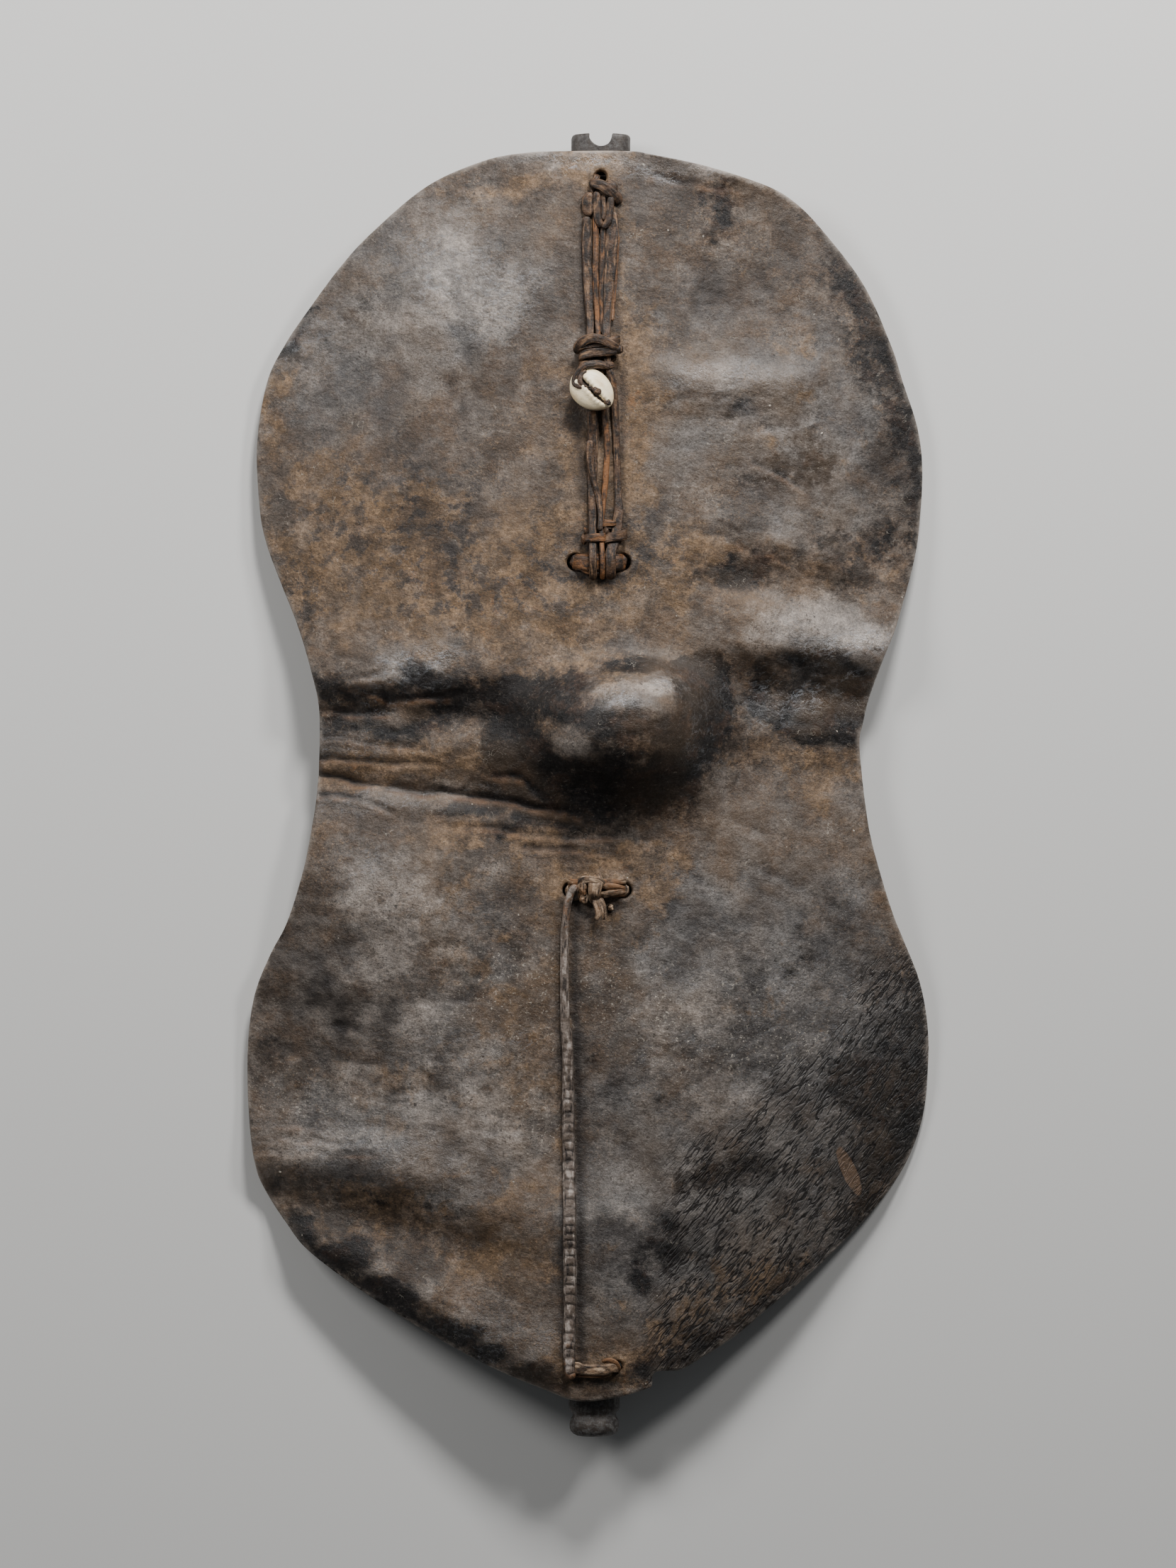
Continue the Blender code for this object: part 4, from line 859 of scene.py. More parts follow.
class Value:
    """A shader socket that can stand in a sum or a product."""

    def __init__(self, shading, socket):
        self.shading, self.socket = shading, socket

    def __add__(self, other):
        return self.shading.math("ADD", self, other)

    def __sub__(self, other):
        return self.shading.math("SUBTRACT", self, other)

    def __rsub__(self, other):
        return self.shading.math("SUBTRACT", other, self)

    def __mul__(self, other):
        return self.shading.math("MULTIPLY", self, other)

    __radd__, __rmul__ = __add__, __mul__

    def capped(self):
        """The value held between 0 and 1."""
        self.socket.node.use_clamp = True
        return self


class Shading:
    """One material, laid on colour by colour."""

    def __init__(self, name):
        self.material = bpy.data.materials.new(name)
        self.material.use_nodes = True
        self.tree = self.material.node_tree
        self.shader = self.tree.nodes["Principled BSDF"]
        self.place = self.made("TexCoord", "Object")
        self.colour = None

    def made(self, kind, output, inputs=(), **settings):
        """The named output of a new node with the given inputs."""
        node = self.tree.nodes.new("ShaderNode" + kind)
        for name, value in settings.items():
            setattr(node, name, value)
        for name, value in dict(inputs).items():
            self.link(value, node.inputs[name])
        return Value(self, node.outputs[output])

    def link(self, value, socket):
        """Give a socket its value, its colour or another socket."""
        if isinstance(value, Value):
            self.tree.links.new(value.socket, socket)
        elif isinstance(value, tuple):
            socket.default_value = (*value, 1.0)[: len(socket.default_value)]
        else:
            socket.default_value = value

    def math(self, operation, a, b=0.0):
        return self.made("Math", 0, {0: a, 1: b}, operation=operation)

    def value(self, name):
        """A layer painted on the mesh."""
        return self.made("Attribute", "Fac", attribute_name=name)

    def stretched(self, length, degrees):
        """Places drawn out by a factor along a direction."""
        turn = (0.0, 0.0, math.radians(degrees))
        inputs = {"Vector": self.place, "Scale": (length, 1.0, 1.0), "Rotation": turn}
        return self.made("Mapping", 0, inputs, vector_type="TEXTURE")

    def noise(self, size, detail=4.0, roughness=0.55, place=None, distortion=0.0):
        """Noise with features of about the given size in millimetres."""
        inputs = {"Vector": place or self.place, "Scale": 1 / (size * MM)}
        return self.made("TexNoise", "Fac", {
            **inputs, "Detail": detail, "Roughness": roughness, "Distortion": distortion})

    def ragged(self, name, amount, *noise, **settings):
        """A painted layer with noise over it, so that its border breaks up."""
        return self.value(name) + (self.noise(*noise, **settings) - 0.5) * amount

    def step(self, value, low, high, top=1.0):
        """A smooth rise from 0 to the top as the value goes from low to high."""
        inputs = {"Value": value, "From Min": low, "From Max": high, "To Max": top}
        return self.made("MapRange", "Result", inputs, interpolation_type="SMOOTHSTEP")

    def mix(self, share, a, b, kind="RGBA"):
        """A colour between two others."""
        return self.made("Mix", "Result", {"Factor": share, "A": a, "B": b}, data_type=kind)

    def blend(self, share, a, b):
        """A number between two others."""
        return self.mix(share, a, b, "FLOAT")

    def lay(self, share, colour):
        """Put a colour over those laid before it."""
        self.colour = self.mix(share, self.colour, colour)

    def darken(self, factor):
        """Scale the colour laid so far."""
        self.colour = self.made("VectorMath", 0, {0: self.colour, "Scale": factor}, operation="SCALE")

    def thin_lines(self, size, width, place, rare, detail):
        """Broken hair-thin lines: 1 along the middle level of a noise, where another noise is high."""
        level = self.math("ABSOLUTE", self.noise(size, detail, 0.55, place) - 0.5)
        present = self.step(self.noise(size * 1.4, 2, 0.5, place), rare, rare + 0.05)
        return self.step(level, width, width * 0.25) * present

    def bump(self, *layers):
        """Normals from layers of height, each with its depth in millimetres."""
        normal = {}
        for height, depth in layers:
            normal = {"Normal": self.made("Bump", 0, {"Height": height, "Distance": depth * MM, **normal})}
        return normal["Normal"]

    def finish(self, roughness, normal, specular):
        """Connect the layers to the shader."""
        for name, value in (("Base Color", self.colour), ("Roughness", roughness), ("Normal", normal),
                            ("Specular IOR Level", specular)):
            self.link(value, self.shader.inputs[name])
        return self.material


def hide_material():
    """Smoked rawhide: brown, with ochre dust, grey bloom, greasy black patches and flaked spots, and with
    painted highlights, sheen and shade.
    """
    s = Shading("patinated_rawhide")
    small, grain = s.noise(3.6, 8, 0.68), s.noise(1.2, 4, 0.72)
    gloss, crackled, dark_layer = s.value("gloss"), s.value("crackled"), s.value("dark")
    s.colour = s.mix(s.step(s.noise(30, 8, 0.66), 0.40, 0.60), BROWN, WARM_BROWN)
    s.lay(s.step(s.noise(10, 9, 0.68, s.stretched(1.5, -10.0)), 0.46, 0.60, 0.60), GREY_BROWN)
    cool_colour = s.mix(s.step(s.noise(26, 9, 0.62), 0.40, 0.58), COOL_DARK, BLUE_GREY_AND_SHEEN)
    s.lay(s.step(s.ragged("cool", 1.5, 20, 10, 0.72), 0.25, 0.95, 0.85), cool_colour)

    ochre = s.ragged("ochre", 2.6, 17, 10, 0.66, distortion=0.3)
    ochre_colour = s.mix(s.step(s.noise(21, 8, 0.64), 0.42, 0.60), OCHRE, DUSTY)
    ochre_colour = s.mix(s.step(s.noise(4.5, 9, 0.74), 0.50, 0.62, 0.55), ochre_colour, TAN)
    s.lay(s.step(ochre, 0.34, 0.74, 0.88), ochre_colour)
    s.lay(s.step(s.ragged("ochre", 3.0, 6, 9, 0.76), 0.95, 1.30, 0.60), ORANGE)

    # Painted sheen: a faint blue-grey haze over all but the darkest patina
    s.lay(s.step(s.noise(24, 9, 0.66), 0.51, 0.60) * s.step(dark_layer, 0.8, 0.2) * 0.24, BLUE_GREY_AND_SHEEN)
    # Pale patina, with painted highlights on the boss, the crests and the top rim.
    s.lay(s.step(s.ragged("pale", 1.7, 11, 10, 0.74), 0.30, 1.10, 0.80), PALE_AND_HIGHLIGHT)
    # Blackened patina, with painted shade along the rim and the lower rim.
    dark_share = s.step(s.ragged("dark", 2.2, 11, 10, 0.76), 0.38, 0.84, 0.95)
    s.lay(dark_share, s.mix(s.step(s.noise(14, 6, 0.66), 0.50, 0.62), BLACK_PATINA_AND_SHADE, DARK_RED))

    islands, chips = s.noise(10, 8, 0.72), s.value("chips")
    s.lay(s.step(islands, 0.525, 0.545) * s.step(chips, 0.15, 0.7) * 0.80, SPOT_EDGE)
    s.lay(s.step(islands, 0.575, 0.595) * s.step(chips, 0.25, 0.8) * 0.70, SPOT)
    s.lay(s.step(s.noise(2.6, 6, 0.70), 0.575, 0.61) * s.step(s.noise(26, 4), 0.44, 0.58) * 0.78, SPOT)
    dust = s.step(s.noise(1.8, 6, 0.74), 0.57, 0.62) * s.step(s.noise(34, 5), 0.44, 0.60)
    s.lay(dust * ((0.60 - s.value("cool") * 0.40) * (1.0 - dark_share * 0.85)), TAN)
    s.lay(s.step(s.noise(1.9, 5, 0.7), 0.595, 0.635) * (s.value("crust") * 0.90 + 0.10), CRUST)
    s.lay(s.step(s.noise(4.5, 1, 0.5), 0.80, 0.83, 0.9), CRUST)

    flecked = s.step(s.value("ochre") + dark_layer, 0.10, 0.75)
    cloudy = s.blend(flecked, s.step(s.noise(24, 10, 0.62), 0.36, 0.64) * 0.40 + 0.78,
                     s.step(s.noise(15, 10, 0.70), 0.38, 0.62) * 0.68 + 0.62)
    mottle = s.blend(flecked, s.step(small, 0.34, 0.68) * 0.36 + 0.80,
                     s.step(small, 0.36, 0.66) * 0.54 + 0.70)
    s.darken(cloudy * (mottle * (s.step(grain, 0.34, 0.66) * 0.62 + 0.70)))
    s.lay(s.thin_lines(9, 0.006, s.place, 0.60, 2.0) * 0.40, CRUST)
    # Painted sheen on the glossy patches: light grey streaks and smears.
    rubbed = s.thin_lines(7, 0.022, s.stretched(2.2, 20.0), 0.44, 5.0) * gloss
    painted_sheen = s.step(s.noise(6, 9, 0.72, s.stretched(2.0, -30.0)), 0.54, 0.66) * gloss
    s.lay(s.math("MAXIMUM", rubbed * 0.60, painted_sheen * 0.42), SHEEN)

    # Orange crease lips; painted shade in the hollows and painted highlight on the crests of the fine relief
    for layer, strength, colour in (("edge", 0.40, ORANGE), ("groove", 0.95, CRACK_AND_SHADE_BLACK), ("crest", 0.28, TAN)):
        s.lay((s.value(layer) * strength).capped(), colour)
    crack_way = s.stretched(5.0, 50.0)
    network = s.math("MAXIMUM", s.thin_lines(2.6, 0.095, crack_way, 0.50, 1.0),
                     s.thin_lines(4.2, 0.060, crack_way, 0.47, 1.0))
    cracks = network * s.step(crackled, 0.05, 0.6)
    s.lay(cracks * 0.92, CRACK_AND_SHADE_BLACK)
    flakes = s.step(s.noise(1.6, 4, 0.60, s.stretched(2.6, 50.0)), 0.36, 0.64)
    s.darken(s.blend(crackled, 1.0, flakes * 0.20 + 0.60))

    scuff_layer = s.value("scuff")
    scuff = s.step(scuff_layer + (small - 0.5) * 0.5, 0.42, 0.56)
    s.lay(s.step(scuff_layer, 0.16, 0.36) * (1.0 - scuff) * 0.55, CRACK_AND_SHADE_BLACK)
    s.lay(scuff * 0.85, SCUFF)
    # Painted highlight along the rim's edge, broken by noise.
    s.lay(s.value("wear") * s.step(s.noise(14, 7, 0.7), 0.40, 0.58) * 0.75, RIM_HIGHLIGHT)
    # Painted shadow beside and under the thongs.
    s.lay((s.value("shade") * 0.9).capped(), CRACK_AND_SHADE_BLACK)
    facing = s.made("SeparateXYZ", "Z", {0: s.made("NewGeometry", "Normal")})
    reverse = s.step(facing, 0.15, -0.25)
    s.lay(reverse, s.mix(s.step(s.noise(18, 6, 0.6), 0.35, 0.7), FLESH_SIDE, FLESH_DARK))

    roughness = s.blend(dark_share, s.blend(s.step(s.value("cool"), 0.2, 0.9), 0.48, 0.38), 0.40)
    roughness = s.blend(s.step(ochre, 0.4, 1.0), roughness, 0.60) + (small - 0.5) * 0.5
    roughness = s.blend((gloss * 0.85).capped(), roughness, (small - 0.4) * 0.26 + 0.12)
    normal = s.bump(
        (grain * 0.4 + small, 0.55), (s.noise(5.0, 8, 0.68, s.stretched(1.4, -12.0)), 0.80),
        (flakes * crackled - cracks * 2.0, 0.22))
    level = s.blend(gloss, 0.32, 0.82) * (1.0 - dark_share * 0.30)
    return s.finish(s.blend(reverse, roughness, 0.78), normal, level)


def thong_material(name, body, worn, deep, rust, rust_share, roughness=0.48, seam_share=0.85):
    """Twisted hide thong: fibres along it, worn pale edges and rusty stains."""
    s = Shading(name)
    around = s.value("around")
    line = s.made("CombineXYZ", 0, {
        0: s.value("along") * 0.055, 1: s.math("SINE", around) * 1.1,
        2: s.value("strip") * 7.31 + s.math("COSINE", around)})
    fibre = s.made("TexNoise", "Fac", {"Vector": line, "Scale": 2.2, "Detail": 5.0})
    small = s.noise(1.4, 4, 0.6)
    s.colour = s.mix(s.step(s.noise(6, 6, 0.6), 0.40, 0.60), body, deep)
    s.lay(s.step(fibre, 0.50, 0.64) * s.step(s.noise(9, 5, 0.65), 0.36, 0.60), worn)
    stain = s.noise(7, 6, 0.68) + s.value("rust") * 0.22
    s.lay(s.step(stain, 0.62 - 0.06 * rust_share, 0.80 - 0.06 * rust_share, 0.80), rust)
    s.lay(s.step(fibre, 0.46, 0.36, 0.8), CRACK_AND_SHADE_BLACK)
    # Dark seams between the scales, and the painted shade along the long thong's right edge.
    s.lay((s.value("seam") * seam_share).capped(), CRACK_AND_SHADE_BLACK)
    s.lay(s.step(small, 0.62, 0.72) * 0.12, PALE_AND_HIGHLIGHT)
    return s.finish(small * 0.25 + (roughness - 0.1), s.bump((fibre, 0.60), (small, 0.45)), 0.32)


def wood_material():
    """Old dark hardwood, greasy with handling, with its grain along the stave."""
    s = Shading("stave_wood_worn")
    grain = s.noise(5, 8, 0.62, s.stretched(11.0, 90.0))
    fine = s.noise(1.2, 5, 0.6, s.stretched(8.0, 90.0))
    s.colour = s.mix(s.step(grain, 0.38, 0.66), WOOD_DARK, WOOD)
    s.lay(s.step(s.noise(16, 5, 0.6), 0.48, 0.75, 0.5), WOOD_PALE)
    s.lay(s.step(fine, 0.56, 0.68, 0.6), CRACK_AND_SHADE_BLACK)
    s.lay(s.value("worn") * s.step(s.noise(2.4, 5, 0.65), 0.45, 0.62), WOOD_GREY)
    normal = s.bump((grain, 0.6), (fine, 0.25), (s.noise(2.0, 5, 0.62), 0.35))
    return s.finish(grain * 0.28 + 0.36, normal, 0.5)


def cowrie_material():
    """Glossy cream enamel with brown dirt between the teeth and in the pits."""
    s = Shading("cowrie_enamel")
    dirt = s.ragged("dirt", 0.9, 2.2, 6, 0.65)
    s.colour = s.mix(s.step(s.noise(7, 4, 0.55), 0.40, 0.70), SHELL, SHELL_CREAM)
    s.lay(s.step(s.ragged("dirt", 0.6, 5, 5), 0.16, 0.6, 0.55), SHELL_STAIN)
    share = s.step(dirt, 0.42, 0.62)
    s.lay(share, GRIME)
    return s.finish(s.blend(share, 0.30, 0.70), s.bump((s.noise(1.0, 4, 0.6), 0.10), (dirt, 0.25)), 0.5)


def drape(places, width, thickness):
    """A route that lies on the hide, from places given as x, y and height above the face."""
    path = smooth_curve(places, DRAPE_STEP)
    spots = [
        face_height(path[:, 0] + dx, path[:, 1] + dy)
        for dx in (-0.4 * width, 0.0, 0.4 * width) for dy in (-0.5 * DRAPE_STEP, 0.5 * DRAPE_STEP)
    ]
    height = np.max(spots, 0) + path[:, 2]
    for _ in range(DRAPE_ROUNDS):
        padded = np.concatenate([height[:1], height, height[-1:]])
        height = 0.5 * height + 0.25 * (padded[:-2] + padded[2:])
    return np.column_stack([path[:, :2], height + thickness / 2])


def tube_faces(count, sections, closed=False):
    """Faces over rings of points, turned outwards, with flat ends unless the tube is closed."""
    faces = []
    for i in range(count if closed else count - 1):
        faces += band(i * sections, (i + 1) % count * sections, sections)
    if not closed:
        faces += [range(sections)[::-1], range((count - 1) * sections, count * sections)]
    return faces


def scale_pattern(along, share, across, seed, strength):
    """The long thong's dried scales: seams between them and painted shade along its right edge, and each
    scale's swelling.
    """
    position = along / SCALE_LENGTH + 0.8 * ripple(along / 16, np.full(len(along), 3.0), seed + 5)
    phase = position[:, None] - 0.34 * across[None] ** 2
    phase = phase - np.floor(phase)
    strength = strength * ease((share - 0.24) / 0.25)[:, None]
    seam = strength * np.exp(-((np.minimum(phase, 1 - phase) * SCALE_LENGTH / 0.50) ** 2))
    # Painted shade along the thong's right edge, which also thins it a little
    seam = np.maximum(seam, 0.8 * strength * np.exp(-(((across[None] + 0.9) / 0.10) ** 2)))
    return seam, 1 + strength * (0.26 * np.sqrt(np.clip(1 - (2 * phase - 1) ** 2, 0, 1)) - 0.12)


def ribbon(route, width, thickness, up=(0, 0, 1), closed=False, seed=1, wear=0.08, squareness=0.55, twist=0.0,
           rust=0.0, scales=0.0, curl=0.0):
    """Rings of a worn strip along a route. Width and rust may be several values spread along it."""
    path = smooth_curve(route, STRIP_STEP, closed)
    count, sections = len(path), STRIP_SECTIONS
    share = np.linspace(0, 1, count)

    def spread(values):
        """The values at even places along the strip."""
        return np.interp(share, np.linspace(0, 1, np.size(values)), np.atleast_1d(values))

    run = np.roll(path, -1, 0) - np.roll(path, 1, 0) if closed else np.gradient(path, axis=0)
    run /= np.linalg.norm(run, axis=1)[:, None]
    along = np.concatenate([[0], np.cumsum(np.linalg.norm(np.diff(path, axis=0), axis=1))])
    ups = np.stack([spread(values) for values in np.atleast_2d(np.array(up, float)).T], 1)
    side = np.cross(run, ups)
    side /= np.linalg.norm(side, axis=1)[:, None]
    lift = np.cross(side, run)
    turn = twist * (np.sin(along / 9 + seed) + 0.5 * ripple(along / 13, np.full(count, seed * 3.1), seed))
    c, s = np.cos(turn)[:, None], np.sin(turn)[:, None]
    side, lift = side * c + lift * s, lift * c - side * s
    widths = spread(width)
    trim = np.ones(count)
    if not closed:
        reach = max(widths.mean() * 0.5, 0.3)
        for far in (along, along[-1] - along):
            trim = np.minimum(trim, np.sqrt(np.clip(1 - (1 - np.clip(far / reach, 0.02, 1)) ** 2, 0.02, 1)))
    angles = np.arange(sections) * math.tau / sections
    c, s = np.cos(angles), np.sin(angles)
    across = np.sign(c) * np.abs(c) ** squareness
    seam, plump = np.zeros((count, sections)), np.ones((count, sections))
    if scales:
        seam, plump = scale_pattern(along, share, across, seed, scales)
    position = along[:, None] * np.ones(sections)
    around = np.ones((count, 1)) * angles
    loose = 1 + wear * cloud(position / 5.5, around * 1.1 + 9 * math.sin(seed), 1.0, 61 + seed, 3)
    edge = 1 + 1.1 * wear * cloud(position / 7, np.sign(c) * 5.0 + around * 0.0 + seed, 1.0, 67 + seed, 3)
    half = 0.5 * widths[:, None] * trim[:, None] * edge
    thick = 0.5 * thickness * trim[:, None] ** 0.7 * loose * plump * (1 - 0.35 * seam)
    high = thick * (np.sign(s) * np.abs(s) ** 0.75) + curl * thickness * (across**2)[None]
    points = path[:, None] + side[:, None] * (half * across)[..., None] + lift[:, None] * high[..., None]
    return {
        "points": points.reshape(-1, 3), "faces": tube_faces(count, sections, closed),
        "along": (position + 37 * seed).ravel(), "around": around.ravel(), "seam": seam.ravel(),
        "strip": np.full(count * sections, float(seed)), "rust": np.repeat(spread(rust), sections),
    }


def ball(rows, columns):
    """Points of a unit ball in rings from its top to its bottom, and its faces."""
    tilt = np.linspace(0.0, math.pi, rows)[1:-1, None]
    angle = np.arange(columns) * math.tau / columns
    x, y, z = np.sin(tilt) * np.cos(angle), np.sin(tilt) * np.sin(angle), np.cos(tilt) + 0 * angle
    points = np.concatenate([np.stack([x, y, z], -1).reshape(-1, 3), [[0, 0, 1], [0, 0, -1]]])
    last, top = (rows - 3) * columns, (rows - 2) * columns
    faces = [
        (near + j, near + columns + j, near + columns + (j + 1) % columns, near + (j + 1) % columns)
        for near in range(0, last, columns) for j in range(columns)
    ]
    faces += [(top, j, (j + 1) % columns) for j in range(columns)]
    return points, faces + [(top + 1, last + (j + 1) % columns, last + j) for j in range(columns)]


def turned_about_z(points, turn):
    """Points turned on the drawing, by radians."""
    c, s = math.cos(turn), math.sin(turn)
    x, y, z = points.T
    return np.stack([x * c - y * s, x * s + y * c, z], 1)


def lump(centre, sizes, seed=1, roughness=0.12, rust=0.0, turn=0.0):
    """A rounded lump with an uneven surface."""
    shell, faces = ball(22, 30)
    x, y, z = shell.T
    swelling = 1 + roughness * cloud(x * 2 + z, y * 2 + seed, 1.0, 81 + seed, 3)
    body = turned_about_z(shell * swelling[:, None] * np.array(sizes) / 2, turn)
    count = len(shell)
    return {
        "points": body + np.array(centre), "faces": faces, "along": y * sizes[1] / 2 + 11 * seed,
        "around": np.arctan2(z, x), "strip": np.full(count, float(seed)), "rust": np.full(count, rust),
        "seam": np.zeros(count),
    }


def assemble(name, parts, finish, node):
    """One piece from several strips and lumps."""
    points, faces, first = [], [], 0
    for part in parts:
        points.append(part["points"])
        faces += [[first + i for i in face] for face in part["faces"]]
        first += len(part["points"])
    made = mesh_object(name, np.concatenate(points), faces, finish)
    for layer in ("along", "around", "strip", "rust", "seam"):
        add_layer(made, layer, np.concatenate([part[layer] for part in parts]))
    return give(made, node)


def turn_outwards(made):
    """Turn all of a mesh's faces outwards."""
    bm = bmesh.new()
    bm.from_mesh(made.data)
    bmesh.ops.recalc_face_normals(bm, faces=bm.faces)
    bm.to_mesh(made.data)
    bm.free()


# The knob and its neck: distance from the stave's foot, and share of its full size
KNOB_PROFILE = (
    (0.0, 0.30), (0.25, 0.55), (0.8, 0.74), (1.8, 0.87), (3.2, 0.95), (5.0, 1.0), (7.5, 1.01), (9.6, 0.97),
    (11.0, 0.91), (12.2, 0.86), (13.4, 0.84), (14.6, 0.87), (15.8, 0.95), (17.2, 0.99), (19.0, 1.0),
)
# The worn end of the fork, likewise from the stave's top
FORK_PROFILE = ((-1.6, 0.985), (-0.7, 0.95), (-0.2, 0.89), (0.0, 0.80))
KNOB_NECK = 13.6
STAVE_STEP = 1.6


def build_stave(finish):
    """The whole stave: neck and pebble-like knob at the foot, grip, and the forked top."""
    stations = [(STAVE_FOOT_Y + offset, share) for offset, share in KNOB_PROFILE]
    y = STAVE_FOOT_Y + 20.5
    while y < STAVE_TOP_Y - 2.0:
        stations.append((y, 1.0))
        y += STAVE_STEP
    stations += [(STAVE_TOP_Y + offset, share) for offset, share in FORK_PROFILE]
    sections = 44
    angles = np.arange(sections) * math.tau / sections
    c, s = np.cos(angles), np.sin(angles)
    rings = []
    for place, share in stations:
        knob = ease((STAVE_FOOT_Y + KNOB_NECK - 2 - place) / 4)
        half_width = stave_width(place) / 2 * share * (1 - 0.06 * knob)
        at = np.full(sections, place)
        long_grain = 0.16 * cloud(angles * 7 + 3, at / 22, 1.0, 701, 3)
        nubs = 0.55 * knob * cloud(angles * half_width / 3.2, at / 3.2, 1.0, 717, 3)
        dents = 0.22 * cloud(angles * 3, at / 14, 1.0, 733, 3)
        swelling = 1 + (long_grain + nubs + dents) / half_width
        rings.append(np.stack([
            stave_x(place) + half_width * np.sign(c) * np.abs(c) ** 0.9 * swelling, at,
            stave_middle(place) + STAVE_THICKNESS / 2 * share * s * swelling,
        ], 1))
    stave = mesh_object("stave_wood", np.concatenate(rings), tube_faces(len(rings), sections), finish)
    turn_outwards(stave)
    cut_notch(stave, finish)
    y = np.array([vert.co.y for vert in stave.data.vertices]) / MM - HIDE_CENTRE_Y
    add_layer(stave, "worn", np.clip(ease((-372 - y) / 8) + 0.6 * ease((y - 376) / 8), 0, 1))
    give(stave, "stave")


def cut_notch(stave, finish):
    """The round-bottomed notch between the two tips of the fork, with softened lips."""
    radius = NOTCH_WIDTH / 2
    turns = [math.pi * (1 + i / 24) for i in range(25)]
    outline = [(radius * math.cos(angle), radius * math.sin(angle)) for angle in turns]
    lips = ((radius + 0.5, 1.5), (radius + 3.0, 6.0), (radius + 3.0, 12.0))
    outline += [*lips, *((-x, y) for x, y in lips[::-1])]
    levels = np.linspace(-24, 24, 33)
    points = [
        (stave_x(STAVE_TOP_Y) + x * (1 + 0.05 * math.sin(level * 0.7)) + 0.25 * math.sin(level + y),
         STAVE_TOP_Y - NOTCH_DEPTH + radius + y * (1 + 0.05 * math.sin(level * 0.7)),
         stave_middle(STAVE_TOP_Y) + level)
        for level in levels for x, y in outline
    ]
    cutter = mesh_object("notch", points, tube_faces(len(levels), len(outline)), finish, False)
    turn_outwards(cutter)
    modifier = stave.modifiers.new("notch", "BOOLEAN")
    modifier.operation, modifier.solver, modifier.object = "DIFFERENCE", "EXACT", cutter
    graph = bpy.context.evaluated_depsgraph_get()
    result = bpy.data.meshes.new_from_object(stave.evaluated_get(graph))
    stave.modifiers.clear()
    stave.data = result
    bpy.data.objects.remove(cutter, do_unlink=True)
    result.shade_smooth()
    result.set_sharp_from_angle(angle=math.radians(50))


def lashing_ribbon(y, width, thickness, lift=0.0, sag=0.0, **settings):
    """A strip over the face, down through two holes and round the back of the stave."""
    reach = stave_width(y) / 2 + STRIP_CLEARANCE + thickness / 2
    middle, crown, waist = stave_x(y), stave_top(y), stave_middle(y)
    xs = np.array([middle - reach, middle, middle + reach])
    front = face_height(xs, np.full(3, float(y))).max() + 0.5 + thickness / 2 + lift
    back = crown - STAVE_THICKNESS - 0.3 - thickness / 2
    corner = thickness * 0.9
    bend = corner * 0.35
    left = [
        (-reach, waist), (-reach, crown), (-reach, front - corner), (bend - reach, front - bend),
        (corner - reach, front),
    ]
    right = [(-x, z) for x, z in left[::-1]]
    below = [(reach, back + corner), (reach - bend, back + bend), (reach - corner, back)]
    loop = [*left, *right, *below, (0.0, back), *((-x, z) for x, z in below[::-1])]
    route = [(middle + x, y, z) for x, z in loop]
    route[5:5] = [(middle + x, y - sag, front + 0.3) for x in (-0.4 * reach, 0.4 * reach)]
    path = smooth_curve(route, STRIP_STEP, closed=True)
    outward = path - np.array([middle, 0.0, (front + back) / 2])
    run = np.roll(path, -1, 0) - np.roll(path, 1, 0)
    ups = np.cross(run, np.array([0.0, 1.0, 0.0]))
    ups *= np.sign((ups * outward).sum(1))[:, None]
    ups /= np.linalg.norm(ups, axis=1)[:, None]
    return ribbon(route, width, thickness, ups, closed=True, **settings)


def wound(centre, half_width, half_height, turns, pitch, width, thickness, tilt, start, seed, **settings):
    """A strip wound round the bundle of strands, each turn lying a little differently."""
    per_turn = 16
    route, ups = [], []
    for i in range(round(turns * per_turn) + 1):
        angle = start + math.tau * i / per_turn
        c, s = math.cos(angle), math.sin(angle)
        wobble = 1 + 0.06 * math.sin(2.3 * i / per_turn + seed)
        side = (half_width + thickness / 2) * wobble * math.copysign(abs(c) ** 0.55, c)
        high = (half_height + thickness / 2) * math.copysign(abs(s) ** 0.7, s)
        drop = pitch * (i / per_turn - turns / 2) + tilt * c
        route.append((centre[0] + side, centre[1] - drop, centre[2] + high))
        ups.append((side / half_width, 0.0, high / half_height))
    return ribbon(route, width, thickness, ups, seed=seed, **settings)


def moved(places, x=0.0, y=0.0, z=0.0):
    """Places measured from a point."""
    return [(x + px, y + py, z + pz) for px, py, pz in places]


def strand(places, width, thickness, **settings):
    """A strip that lies on the hide or on what is under it."""
    return ribbon(drape(places, np.mean(width), thickness), width, thickness, **settings)


def height_at(x, y):
    """Height of the face at one place."""
    return float(face_height(np.array([x]), np.array([y]))[0])


